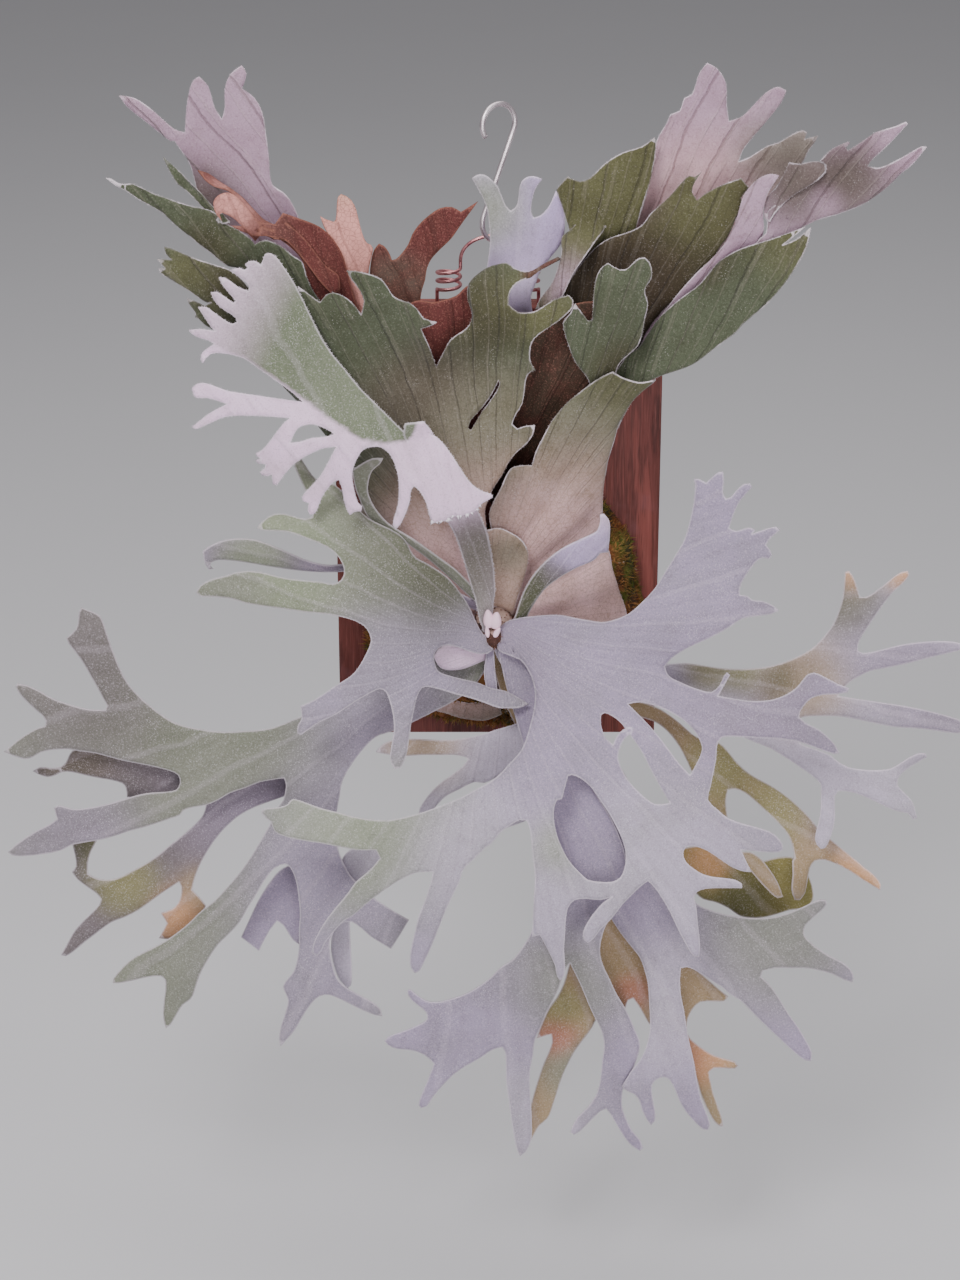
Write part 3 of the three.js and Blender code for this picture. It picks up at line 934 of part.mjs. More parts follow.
// The right shield frond, low beside the bud.
const shieldRight = {
  margin: [
    489, 514, 500, 490, 507, 474, 512, 468, 522, 466, 532, 466, 536, 452, 545, 433, 553, 420, 567, 403, 580, 392,
    590, 385, 600, 378, 613, 372, 621, 378, 638, 382, 655, 378, 645, 388, 637, 395, 628, 408, 620, 420, 614, 440,
    608, 462, 604, 485, 602, 510, 605, 540, 609, 552, 616, 580, 622, 600, 626, 620, 625, 640, 618, 670, 605, 695,
    585, 708, 560, 716, 530, 720, 512, 721, 508, 700, 500, 665, 499, 640, 498, 600, 496, 560, 492, 530,
  ],
  marks: [
    502, 640, 69, 512, 700, 54, 512, 720, 46, 560, 714, 38, 603, 693, 30, 625, 640, 30, 620, 600, 34, 606, 544, 44,
    602, 515, 50, 604, 485, 56, 614, 440, 68, 637, 395, 80, 655, 378, 85, 613, 372, 88, 638, 382, 89, 590, 385, 85,
    567, 403, 83, 545, 433, 84, 534, 464, 84, 512, 470, 85, 500, 492, 82, 490, 514, 77, 560, 500, 72, 560, 560, 66,
    570, 640, 60, 530, 560, 72, 540, 680, 57, 590, 440, 77,
  ],
};

// The right shield frond's upper neighbour, a long lobe that reaches up to the right.
const shieldUpperRight = {
  margin: [
    617, 370, 622, 362, 628, 355, 634, 350, 639, 347, 645, 338, 652, 328, 660, 317, 668, 309, 680, 299, 690, 292,
    700, 284, 707, 275, 716, 264, 727, 256, 740, 249, 755, 244, 765, 241, 780, 236, 795, 231, 805, 227, 794, 236,
    783, 245, 797, 239, 811, 227, 807, 246, 802, 257, 796, 267, 788, 279, 778, 292, 768, 303, 755, 314, 743, 324,
    735, 333, 722, 343, 710, 352, 697, 362, 685, 368, 670, 373, 652, 380, 636, 396, 622, 420, 611, 446, 604, 480,
    598, 512, 590, 545, 574, 556, 564, 540, 576, 500, 588, 450, 598, 415, 606, 390,
  ],
  marks: [
    610, 430, 60, 640, 400, 66, 655, 378, 71, 691, 366, 79, 730, 339, 87, 768, 304, 95, 800, 255, 100, 810, 228, 98,
    727, 258, 82, 700, 283, 75, 668, 308, 69, 639, 347, 63, 617, 372, 61, 770, 238, 90, 594, 480, 47, 578, 545, 37,
  ],
};

// A mitten-shaped shield frond above the middle.
const shieldMitten = {
  margin: [
    563, 322, 570, 313, 575, 303, 579, 308, 584, 315, 588, 321, 592, 320.5, 593, 305, 594, 290, 597, 275, 603, 266,
    608, 263, 614, 266, 620, 269.5, 626, 269, 632, 264, 638, 258.5, 645, 257.5, 650, 263, 652, 271, 651, 279,
    646, 286, 645, 293, 648, 303, 645, 318, 641, 331, 638, 345, 630, 352, 622, 360, 616, 371, 618, 385, 612, 410,
    600, 460, 582, 515, 562, 562, 540, 560, 548, 520, 566, 465, 584, 410, 590, 385, 585, 374, 577, 364, 571, 352,
    567, 340, 564, 330,
  ],
  marks: [
    563, 322, 88, 590, 320, 88, 645, 258, 94, 608, 263, 90, 640, 330, 88, 592, 382, 77, 616, 371, 79, 605, 400, 73,
    585, 470, 58, 565, 520, 48, 550, 558, 45,
  ],
};

// The scalloped shield frond with its folded foot.
const shieldScalloped = {
  margin: [
    556, 190, 567.5, 176.5, 579.6, 181.7, 590, 178, 603.7, 164.4, 622.7, 152.4, 641.6, 146.4, 654.5, 137.7, 656, 143,
    653, 168, 646, 195, 640, 213, 628, 262, 604, 330, 578, 400, 560, 460, 547, 512, 528, 514, 534, 460, 548, 380,
    562, 300, 570, 250, 571, 236.8, 566, 219.5, 559, 199,
  ],
  marks: [
    556, 190, 38, 600, 175, 42, 652, 145, 46, 640, 213, 44, 572, 236, 39, 600, 240, 39, 590, 300, 32, 572, 380, 23,
    552, 450, 18, 537, 512, 16,
  ],
};
const scallopedFoot = {
  margin: [
    561, 242, 563, 236, 571, 230, 583, 217, 597, 214, 607, 222, 604, 230, 597, 240, 588, 252, 580, 264, 573, 275,
    567, 286, 563, 296, 553, 303, 543, 308, 535, 309, 541, 298, 549, 288, 556, 275, 560, 262, 562, 250,
  ],
  marks: [571, 232, 42, 583, 217, 37, 597, 214, 36, 607, 224, 38, 602, 236, 50, 592, 247, 57, 575, 262, 60, 540, 305, 62, 583, 230, 47],
};

// The olive shield frond behind the mitten.
const shieldOlive = {
  margin: [
    563, 296, 568, 284, 575, 272, 584, 260, 594, 249, 604, 241, 612, 237, 625, 233, 643, 224, 650, 214,
    661, 205, 669, 197, 676, 189, 683, 181, 689, 176, 695, 177, 702, 171.5, 695, 182, 692, 192, 697, 200, 702, 196,
    708, 192, 717, 188, 725, 184, 735, 180, 741, 178.5, 746, 184, 749, 188, 745, 193, 741, 198, 742, 204, 736, 218,
    727, 238, 717, 253, 720, 262, 712, 272, 700, 285, 688, 293, 672, 303, 655, 320, 645, 335, 640, 348, 622, 400,
    596, 460, 570, 520, 548, 522, 538, 508, 548, 470, 560, 400, 570, 350,
  ],
  marks: [
    563, 296, 44, 592, 250, 44, 610, 238, 50, 650, 214, 60, 695, 177, 66, 745, 186, 72, 700, 240, 68, 717, 255, 70, 656, 310, 52,
    605, 330, 44, 600, 400, 32, 575, 460, 25, 555, 515, 22,
  ],
};

// The small lavender shield frond at the upper right.
const shieldLavender = {
  margin: [
    716, 254, 720, 249, 726, 241, 731, 232, 735, 224, 738, 214, 741, 203, 744, 195, 749, 188, 756, 181, 762, 177,
    770, 174.5, 779, 176, 776, 182, 772, 188, 767, 195, 765, 205, 763, 215, 764, 225, 763, 235, 757, 258, 722, 300,
    684, 342, 648, 366, 624, 400, 607, 440, 599, 480, 592, 530, 576, 538, 566, 526, 582, 470, 600, 410, 640, 345,
    686, 284,
  ],
  marks: [
    716, 254, 75, 741, 203, 78, 770, 176, 84, 764, 225, 80, 740, 262, 74, 690, 305, 61, 640, 370, 45, 600, 440, 33,
    578, 530, 26,
  ],
};

// The fan of narrow shield lobes at the far right.
const shieldFan = {
  margin: [
    768, 211, 780, 202, 795, 192, 810, 184, 822, 176, 826, 165, 820, 161, 826, 155, 832, 149, 840, 145, 848, 141.5,
    850, 143, 846, 147, 848, 151, 855, 147, 865, 140, 875, 133, 882, 130, 890, 128, 897, 126, 906, 122, 908, 124,
    900, 133, 890, 143, 880, 153, 870, 162, 868, 166, 877, 168, 888, 165, 900, 159, 912, 152, 922, 146.5, 927, 147,
    920, 156, 912, 165, 902, 173, 893, 182, 880, 193, 865, 203, 850, 210, 835, 215, 820, 219, 810, 224, 800, 229,
    784, 244, 760, 274, 722, 316, 688, 350, 655, 368, 630, 396, 612, 432, 604, 470, 598, 510, 590, 550, 574, 552,
    576, 536, 586, 480, 602, 420, 628, 372, 670, 330, 712, 288, 744, 254, 757, 242, 760, 238, 766, 233, 767, 222,
  ],
  marks: [
    768, 218, 84, 820, 195, 88, 848, 143, 95, 905, 124, 98, 925, 148, 99, 850, 208, 91, 800, 229, 87, 755, 262, 81,
    712, 308, 71, 665, 355, 58, 615, 420, 44, 583, 545, 31,
  ],
};
const fanOlive = {
  margin: [
    765, 218, 765, 208, 767, 198, 771, 192, 776, 187, 782, 178, 786, 168, 789, 162, 800, 164, 808, 163.5, 818, 161.5,
    825, 164, 826, 172, 818, 180, 802, 190, 790, 198, 778, 210, 770, 222,
  ],
  marks: [765, 215, 81, 788, 165, 88, 820, 163, 87, 824, 172, 93, 795, 194, 89, 770, 220, 87],
};

// The pale shield fronds high at the back.
const shieldPaleRight = {
  margin: [
    642, 209, 651.5, 167, 657, 140, 666.8, 123, 670.6, 114.5, 680, 110.7, 684, 98.3, 691.7, 94.4, 699.3, 73.4,
    707, 62.9, 716.5, 67.7, 726, 83, 729, 121, 743, 115.5, 764, 94.4, 777.8, 86.8, 786.4, 90.6, 781.6, 102,
    758.6, 130.8, 743, 150, 739, 161, 750, 157, 758, 152, 768, 146, 778, 143, 785, 139, 795, 133, 803, 130.5,
    807, 132, 805, 139, 811, 137, 818, 136, 815, 142, 809, 150, 804, 160, 798, 168, 770, 200, 726, 250, 680, 310,
    634, 380, 590, 450, 556, 508, 530, 512, 526, 500, 552, 430, 588, 350, 620, 270,
  ],
  marks: [
    700, 75, 40, 780, 92, 42, 812, 138, 50, 650, 170, 30, 735, 160, 38, 690, 240, 24, 630, 310, 16, 590, 400, 11,
    540, 505, 8,
  ],
};
const shieldPaleLeft = {
  margin: [
    119, 96, 134.7, 98, 153, 110, 174.5, 128.6, 185, 131.6, 187.3, 101, 192.8, 81, 199, 76.5, 208, 85.7, 214.3, 107,
    222, 119.4, 225, 107, 225, 88.8, 231, 73.5, 241.8, 65.8, 246.4, 73.5, 242, 89, 254, 98, 262, 112, 266, 135,
    269, 160, 272, 184, 283, 192, 290, 200, 297, 214, 310, 250, 350, 330, 410, 420, 470, 490, 478, 505, 452, 508,
    400, 450, 330, 366, 262, 284, 222, 226, 214, 214, 199, 196, 190, 165, 174.5, 140, 171, 140.8, 147, 122.4, 127, 107,
  ],
  marks: [
    120, 98, 44, 199, 80, 40, 240, 70, 38, 190, 165, 34, 268, 190, 30, 290, 270, 22, 350, 360, 14, 460, 500, 8,
  ],
};

// The long shield lobes on the left.
const shieldLeftLow = {
  margin: [
    105.6, 177.5, 112, 179, 118, 183, 125, 184, 132, 183.5, 140, 187, 150, 192, 160, 195, 172, 200, 185, 204,
    200, 208, 211, 211, 217, 214, 222, 222, 232, 228, 243, 233, 250, 238, 255, 244, 260, 241, 266, 240, 275, 243,
    285, 249, 293, 256, 302, 262, 306, 275, 312, 289, 322, 304, 350, 350, 390, 420, 430, 490, 466, 560, 476, 600,
    456, 606, 430, 566, 390, 500, 350, 430, 316, 370, 285, 322, 262, 290, 245, 272, 240, 268, 228, 266, 219, 260,
    207, 250, 195, 241, 183, 231, 172, 221, 162, 213, 150, 206, 138, 199, 125, 190, 115, 185,
  ],
  marks: [
    106, 178, 90, 160, 203, 84, 240, 250, 74, 300, 275, 68, 320, 330, 62, 360, 400, 53, 410, 490, 47, 462, 595, 50,
  ],
};
const leftLowLobe = {
  margin: [
    163.5, 157, 167, 161, 175, 168, 184, 176, 192, 184, 200, 192, 207, 199, 213, 206, 222, 213, 230, 222, 222, 224,
    211, 216, 204, 209, 198, 203, 190, 195, 183, 188, 178, 185, 170, 172,
  ],
  marks: [164, 158, 80, 200, 196, 74, 213, 207, 73, 214, 218, 76, 225, 213, 72, 228, 222, 79],
};
const shieldLeftLong = {
  margin: [
    164, 247, 170, 248, 180, 252, 192, 257, 205, 262, 218, 266, 230, 270, 240, 278, 248, 287, 262, 300, 300, 345,
    350, 405, 396, 465, 436, 520, 470, 570, 496, 606, 490, 626, 470, 622, 436, 578, 396, 526, 350, 466, 300, 405,
    262, 366, 236, 345, 216, 331, 212, 329, 205, 325, 198, 318, 195, 317, 196, 314, 192, 308, 188, 302, 187, 298,
    192, 300, 198, 302, 205, 306, 211, 303, 207, 303, 198, 296, 188, 290, 178, 284, 168, 278, 160, 272, 159, 268,
    165, 268, 157, 259, 163, 260, 172, 260, 166, 254,
  ],
  marks: [
    162, 258, 98, 190, 310, 94, 230, 275, 90, 220, 330, 90, 270, 330, 84, 320, 400, 70, 370, 460, 55, 420, 530, 55,
    485, 610, 58,
  ],
};

// The small young shield frond behind the bud.
const shieldYoung = {
  margin: [
    487, 530, 500, 528, 512, 533, 522, 540, 528, 552, 527, 566, 522, 585, 516, 603, 510, 624, 502, 632, 492, 622,
    491, 600, 491, 580, 490, 555,
  ],
  marks: [498, 620, 80, 505, 580, 82, 500, 530, 86, 527, 555, 84, 487, 532, 84],
};

// The dead shield fronds in the middle of the top.
const deadLeft = {
  margin: [
    246, 226, 262, 231, 258, 222, 275, 224, 283, 213, 300, 219, 320, 227, 333, 239, 341, 252, 347, 270, 352, 290,
    360, 315, 376, 360, 410, 430, 446, 500, 468, 556, 460, 572, 440, 560, 410, 510, 370, 440, 330, 380, 300, 330,
    306, 300, 303, 262, 290, 247, 275, 237, 262, 233, 255, 241, 247, 233, 235, 229, 222, 226,
  ],
  marks: [
    225, 227, 72, 283, 214, 62, 333, 240, 56, 303, 262, 62, 350, 290, 53, 320, 340, 55, 370, 400, 46, 420, 490, 41,
    456, 560, 43,
  ],
};
const deadLeftStrip = {
  margin: [
    198, 170, 208, 174, 220, 181, 232, 190, 245, 200, 254, 211, 262, 220, 276, 226, 272, 234, 258, 232, 250, 222,
    246, 212, 238, 201, 228, 191, 215, 186, 205, 180,
  ],
  marks: [198, 172, 62, 235, 196, 60, 254, 216, 62, 272, 226, 60, 266, 234, 70],
};
const deadLeftPetal = {
  margin: [
    262, 222, 275, 218, 290, 226, 303, 238, 315, 252, 326, 266, 338, 275, 340, 290, 332, 295, 322, 284, 310, 268,
    297, 252, 284, 240, 270, 238,
  ],
  marks: [275, 218, 60, 290, 230, 65, 268, 236, 70, 303, 250, 66, 325, 276, 66, 338, 290, 64],
};
const deadLeftSalmon = {
  margin: [
    213, 202, 218, 195, 228, 192, 238, 198, 246, 207, 254, 217, 262, 226, 275, 231, 285, 236, 280, 240, 265, 236,
    254, 236, 243, 227, 232, 217, 222, 212, 219, 214, 222, 221, 216, 214,
  ],
  marks: [214, 205, 85, 232, 196, 82, 250, 217, 77, 262, 228, 71, 255, 236, 73, 283, 234, 62, 272, 239, 74],
};
const deadSalmon = {
  margin: [
    320, 216, 325, 219, 334, 222, 336, 220, 337, 208, 338, 197, 341, 194, 346, 196, 351, 200, 356, 210, 359, 222,
    362, 233, 367, 243, 371, 245, 373, 248, 371, 258, 369, 268, 369, 290, 376, 330, 400, 390, 434, 450, 466, 508,
    480, 536, 466, 548, 448, 536, 420, 480, 384, 410, 360, 350, 350, 310, 346, 280, 345, 264, 340, 252, 333, 240,
    325, 228,
  ],
  marks: [322, 218, 54, 341, 196, 50, 370, 250, 46, 342, 255, 48, 360, 320, 44, 400, 410, 38, 440, 480, 35, 468, 540, 36],
};
const deadCentre = {
  margin: [
    370, 275, 371, 262, 374, 250, 379, 243.5, 384, 246, 389, 253, 392, 260, 396, 259, 402, 253, 408, 245, 412, 235,
    418, 226, 428, 216, 440, 208, 452, 207, 457, 210, 461, 212, 467, 209, 472, 206, 478, 201.5, 474, 207, 468, 215,
    461, 225, 452, 237, 442, 247, 433, 257, 427, 268, 425, 280, 422, 290, 420, 304, 430, 360, 452, 430, 482, 500,
    492, 518, 478, 526, 460, 510, 424, 440, 392, 370, 376, 310,
  ],
  marks: [379, 245, 42, 410, 240, 42, 474, 204, 40, 375, 280, 40, 422, 290, 40, 405, 340, 37, 440, 430, 30, 482, 518, 29],
};
const deadRight = {
  margin: [
    404, 310, 412, 302, 420, 300, 432, 302, 445, 299, 456, 296, 462, 291, 468, 286, 480, 286, 487, 300, 485, 330,
    478, 380, 480, 440, 490, 500, 496, 540, 484, 550, 468, 520, 452, 460, 434, 400, 416, 360, 405, 335,
  ],
  marks: [404, 312, 58, 430, 302, 58, 480, 288, 52, 440, 350, 56, 460, 430, 47, 478, 500, 41, 486, 544, 42],
};
const deadInner = {
  margin: [
    520, 330, 540, 315, 568, 305, 600, 302, 625, 320, 636, 350, 620, 385, 598, 405, 565, 432, 542, 465, 522, 500,
    512, 526, 496, 526, 488, 505, 490, 470, 500, 420, 510, 370,
  ],
  marks: [520, 332, 54, 600, 304, 58, 634, 350, 58, 560, 380, 54, 520, 440, 44, 500, 520, 31, 600, 400, 52],
};

const leaves = [
  ['antler_front', 'antler', [antlerFront]],
  ['antler_left', 'antler', [antlerLeft]],
  ['antler_lower_left', 'antler', [antlerLowerLeft]],
  ['antler_behind_left', 'antler', [antlerBehindLeft]],
  ['antler_crest', 'antler', [antlerCrest, crestStalk]],
  ['antler_right_back', 'antler', [antlerRightBack]],
  ['antler_right_lower', 'antler', [antlerRightLower]],
  ['antler_lower', 'antler', [antlerLower]],
  ['antler_lower_right', 'antler', [antlerLowerRight]],
  ['antler_bottom_back', 'antler', [antlerBottomBack]],
  ['antler_spoon', 'antler', [antlerSpoon]],
  ['antler_young', 'antler', [antlerYoung]],
  ['antler_back_top', 'antler', [antlerBackTop]],
  ['antler_curled', 'antler', [antlerCurled]],
  ['antler_cut_behind', 'antler', [antlerCutBehind]],
  ['antler_inner_left', 'antler', [antlerInnerLeft]],
  ['antler_olive', 'antler', [antlerOlive]],
  ['antler_small_pale', 'antler', [antlerSmallPale]],
  ['antler_petiole', 'antler', [antlerPetiole]],
  ['shield_front', 'shield', [shieldFront]],
  ['shield_right', 'shield', [shieldRight]],
  ['shield_upper_right', 'shield', [shieldUpperRight]],
  ['shield_mitten', 'shield', [shieldMitten]],
  ['shield_scalloped', 'shield', [shieldScalloped, scallopedFoot]],
  ['shield_olive', 'shield', [shieldOlive]],
  ['shield_lavender', 'pale', [shieldLavender]],
  ['shield_fan', 'pale', [shieldFan, fanOlive]],
  ['shield_pale_right', 'pale', [shieldPaleRight]],
  ['shield_pale_left', 'pale', [shieldPaleLeft]],
  ['shield_left_low', 'shield', [shieldLeftLow, leftLowLobe]],
  ['shield_left_long', 'shield', [shieldLeftLong]],
  ['shield_young', 'shield', [shieldYoung]],
  ['dead_left', 'dead', [deadLeft, deadLeftStrip, deadLeftPetal, deadLeftSalmon]],
  ['dead_salmon', 'salmon', [deadSalmon]],
  ['dead_centre', 'dead', [deadCentre]],
  ['dead_right', 'dead', [deadRight]],
  ['dead_inner', 'dead', [deadInner]],
];

// ---------------------------------------------------------------------------------------------
// The plant put together
// ---------------------------------------------------------------------------------------------

function leafGeometry(sheets, thickness) {
  let solid = null;
  for (const sheet of sheets) {
    const blade = toSolid(bladeGeometry(sheet, thickness));
    solid = solid ? solid.add(blade) : blade;
  }
  return largestBody(solid.subtract(moundKeepOut).subtract(budKeepOut));
}

const fern = new THREE.Group();

function addPiece(name, geometry, material) {
  geometry.computeVertexNormals();
  const mesh = new THREE.Mesh(geometry, material);
  mesh.name = name;
  fern.add(mesh);
}

addPiece('board', boardGeometry(), materials.wood);
addPiece('hanger_wire', hangerWireGeometry(), materials.copper);
addPiece('s_hook', hookGeometry(), materials.steel);
addPiece('moss_mound', moundGeometry(), materials.moss);
addPiece('rhizome', budGeometry(), materials.bud);
for (const [name, kind, sheets] of leaves) {
  const thickness = name.startsWith('antler') ? ANTLER_THICKNESS : SHIELD_THICKNESS;
  addPiece(name, leafGeometry(sheets, thickness), materials[kind]);
}

export default fern;
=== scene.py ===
"""Mounted staghorn fern: the living look of the board, wire, hook, moss, bud and fronds.

Everything is in metres in the frame of the solids: +Z up, the board's front faces -Y,
the origin is the middle of the board's back.
"""
import json
import math
import random

import bmesh
import bpy
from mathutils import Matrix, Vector, kdtree, noise
from mathutils.bvhtree import BVHTree


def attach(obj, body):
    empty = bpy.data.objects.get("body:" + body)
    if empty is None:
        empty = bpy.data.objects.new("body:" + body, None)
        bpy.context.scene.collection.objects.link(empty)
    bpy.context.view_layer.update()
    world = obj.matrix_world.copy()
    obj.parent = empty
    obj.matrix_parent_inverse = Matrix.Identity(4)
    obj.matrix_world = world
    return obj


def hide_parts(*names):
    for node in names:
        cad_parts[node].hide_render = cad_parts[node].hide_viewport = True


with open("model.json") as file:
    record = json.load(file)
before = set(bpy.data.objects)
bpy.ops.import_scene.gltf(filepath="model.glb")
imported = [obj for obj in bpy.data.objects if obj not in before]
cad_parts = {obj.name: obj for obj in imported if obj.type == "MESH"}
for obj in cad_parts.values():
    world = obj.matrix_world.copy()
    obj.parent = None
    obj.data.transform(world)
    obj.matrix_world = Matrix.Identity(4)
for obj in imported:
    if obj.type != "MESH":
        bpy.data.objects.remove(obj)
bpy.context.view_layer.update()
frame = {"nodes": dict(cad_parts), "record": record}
MM = 0.001

# --------------------------------
# Camera, floor and light
# --------------------------------

VIEW_AIM = Vector((-0.014, -0.025, -0.097))
LIGHT_AIM = Vector((0, -0.05, -0.08))
VIEW_DISTANCE = 2.4
VIEW_ELEVATION = math.radians(22)
EYE = VIEW_AIM + Vector((0, -math.cos(VIEW_ELEVATION), math.sin(VIEW_ELEVATION))) * VIEW_DISTANCE
FLOOR_HEIGHT = -0.62
FLOOR_REACH = 40


def add_camera():
    """The camera that takes the photograph's view."""
    camera = bpy.data.objects.new("camera", bpy.data.cameras.new("camera"))
    camera.data.sensor_fit = "VERTICAL"
    camera.data.sensor_height = 36
    camera.data.lens = 84.375
    camera.data.clip_end = 60
    camera.location = EYE
    camera.rotation_euler = (VIEW_AIM - EYE).to_track_quat("-Z", "Y").to_euler()
    bpy.context.scene.collection.objects.link(camera)
    bpy.context.scene.camera = camera


def add_light(name, place, width, height, power, colour):
    """One soft lamp that faces the plant."""
    lamp = bpy.data.lights.new(name, "AREA")
    lamp.shape = "RECTANGLE"
    lamp.size, lamp.size_y, lamp.energy, lamp.color = width, height, power, colour
    light = bpy.data.objects.new(name, lamp)
    light.location = place
    light.rotation_euler = (LIGHT_AIM - Vector(place)).to_track_quat("-Z", "Y").to_euler()
    bpy.context.scene.collection.objects.link(light)


def add_studio():
    """The camera, four soft lamps and an even pale sky."""
    add_camera()
    add_light("soft_front", (-0.7, -1.9, 1.8), 0.8, 0.8, 46, (1.0, 0.965, 0.98))
    add_light("soft_low", (0.35, -2.3, 0.25), 1.0, 1.0, 26, (1.0, 0.96, 0.985))
    add_light("soft_right", (1.9, -1.3, 0.7), 1.0, 1.4, 6, (0.96, 0.95, 1.0))
    add_light("soft_top", (0.0, 0.3, 2.9), 3.0, 3.0, 74, (1.0, 0.98, 0.98))
    world = bpy.context.scene.world or bpy.data.worlds.new("studio")
    bpy.context.scene.world = world
    world.use_nodes = True
    sky = world.node_tree.nodes["Background"]
    sky.inputs["Color"].default_value = (0.90, 0.88, 0.90, 1)
    sky.inputs["Strength"].default_value = 0.30


# --------------------------------
# Finishes: one small class that lets shader values be added and multiplied
# --------------------------------

# Places of the mix node's colour sockets
MIX_AMOUNT, MIX_UNDER, MIX_OVER, MIX_COLOUR = 0, 6, 7, 2


class Value:
    """A value that varies over a surface."""

    def __init__(self, finish, socket):
        self.finish, self.socket = finish, socket

    def sums(self, operation, *others):
        return self.finish.node("ShaderNodeMath", {"operation": operation}, dict(enumerate((self, *others))))

    def __add__(self, other):
        return self.sums("ADD", other)

    def __sub__(self, other):
        return self.sums("SUBTRACT", other)

    def __mul__(self, other):
        return self.sums("MULTIPLY", other)

    def sine(self):
        return self.sums("SINE")

    def between(self, low, high):
        """0 below low, 1 above high, smooth in between; also from high to low."""
        return self.finish.node(
            "ShaderNodeMapRange", {"interpolation_type": "SMOOTHSTEP"},
            {"Value": self, "From Min": low, "From Max": high, "To Min": 0.0, "To Max": 1.0})


class Finish:
    """One procedural material."""

    def __init__(self, name, **constants):
        self.material = bpy.data.materials.new(name)
        self.material.use_nodes = True
        self.tree = self.material.node_tree
        self.shader = self.tree.nodes["Principled BSDF"]
        for socket, value in constants.items():
            self.shader.inputs[socket.replace("_", " ")].default_value = value

    def node(self, kind, settings, sockets, output=0):
        made = self.tree.nodes.new(kind)
        for key, value in settings.items():
            setattr(made, key, value)
        for key, value in sockets.items():
            if isinstance(value, Value):
                self.tree.links.new(value.socket, made.inputs[key])
            else:
                made.inputs[key].default_value = value
        return Value(self, made.outputs[output])

    def place(self, scale=(1, 1, 1)):
        """The point on the object itself, stretched by scale."""
        spot = self.node("ShaderNodeTexCoord", {}, {}, "Object")
        return self.node("ShaderNodeMapping", {}, {"Vector": spot, "Scale": scale})

    def grain(self, scale, detail=3.0, rough=0.55, place=None, warp=0.0):
        """Cloudy noise; scale is in patches to the metre."""
        return self.node("ShaderNodeTexNoise", {}, {
            "Vector": place or self.place(), "Scale": scale, "Detail": detail,
            "Roughness": rough, "Distortion": warp}, "Fac")

    def cells(self, scale, place=None, feature="F1"):
        """Distance to the middle or the edge of random cells; scale is in cells to the metre."""
        return self.node("ShaderNodeTexVoronoi", {"feature": feature}, {
            "Vector": place or self.place(), "Scale": scale}, "Distance")

    def painted(self, name, output="Fac"):
        """A value stored on the points of the mesh."""
        return self.node("ShaderNodeAttribute", {"attribute_name": name}, {}, output)

    def mix(self, amount, under, over, blend="MIX"):
        return self.node("ShaderNodeMix", {"data_type": "RGBA", "blend_type": blend},
                         {MIX_AMOUNT: amount, MIX_UNDER: under, MIX_OVER: over}, MIX_COLOUR)

    def height(self, value, strength, distance, under=None):
        """Small relief, laid over other relief where there is any."""
        sockets = {"Height": value, "Strength": strength, "Distance": distance}
        if under is not None:
            sockets["Normal"] = under
        return self.node("ShaderNodeBump", {}, sockets)

    def set(self, **values):
        for socket, value in values.items():
            self.tree.links.new(value.socket, self.shader.inputs[socket.replace("_", " ")])


def shade(red, green, blue):
    """A colour as it is seen, 0 to 255, as the light it reflects."""
    return tuple(((c / 255 + 0.055) / 1.055) ** 2.4 if c > 10 else c / 255 / 12.92
                 for c in (red, green, blue)) + (1.0,)


# --------------------------------
# Small tools for meshes
# --------------------------------

SAME_POINT = 0.00002
SAME_ROD_POINT = 0.00001
SAME_HAIR_POINT = 0.000002
SHAPES_IN_BATCH = 250
# Slim pointed shapes, as (sides, where their middle is along their length, flatness)
HAIR_SHAPE, SPRIG_SHAPE, SCALE_SHAPE = (3, 0.4, 1), (4, 0.45, 0.45), (4, 0.45, 0.5)


def slot_of(node):
    """The material slot that the record gives a node."""
    for entry in frame["record"]["subparts"]:
        if entry["node"] == node:
            return entry["material_slot"]
    raise ValueError(node)


def merged_solid(node):
    """A solid of the frame as one mesh with shared points."""
    bm = bmesh.new()
    bm.from_mesh(frame["nodes"][node].data)
    bmesh.ops.remove_doubles(bm, verts=bm.verts, dist=SAME_POINT)
    return bm


def pointed_shape(foot, way, long, wide, shape):
    """A hair, moss leaf or scale from its foot along a direction, made when it is given a mesh."""
    sides, middle, flatness = shape

    def make(bm):
        turn = way.to_track_quat("Z", "Y").to_matrix().to_4x4()
        turn.translation = foot + way * long * middle
        made = bmesh.ops.create_cone(bm, cap_ends=True, segments=sides, radius1=wide, radius2=0.0,
                                     depth=long, matrix=turn)
        if flatness < 1:
            flat = turn.to_3x3() @ Vector((0, 1, 0))
            for vert in made["verts"]:
                vert.co -= flat * (vert.co - foot).dot(flat) * (1 - flatness)
    return make


def gather(shapes_into, name):
    """Collect many small shapes without slowing down."""
    store = bpy.data.meshes.new(name)
    whole, batch = bmesh.new(), bmesh.new()
    for count, shape in enumerate(shapes_into):
        shape(batch)
        if count % SHAPES_IN_BATCH == SHAPES_IN_BATCH - 1:
            batch.to_mesh(store)
            whole.from_mesh(store)
            batch.clear()
    batch.to_mesh(store)
    whole.from_mesh(store)
    batch.free()
    bpy.data.meshes.remove(store)
    bmesh.ops.remove_doubles(whole, verts=whole.verts, dist=SAME_HAIR_POINT)
    return whole


def join_in(bm, extra, name):
    """Add one mesh's shapes to another and free it."""
    store = bpy.data.meshes.new(name)
    extra.to_mesh(store)
    extra.free()
    bm.from_mesh(store)
    bpy.data.meshes.remove(store)


def split_long(bm, most, rounds):
    """Halve edges that are longer than most."""
    for _ in range(rounds):
        bmesh.ops.subdivide_edges(bm, edges=[e for e in bm.edges if e.calc_length() > most], cuts=1)
        bmesh.ops.triangulate(bm, faces=[f for f in bm.faces if len(f.verts) > 3])


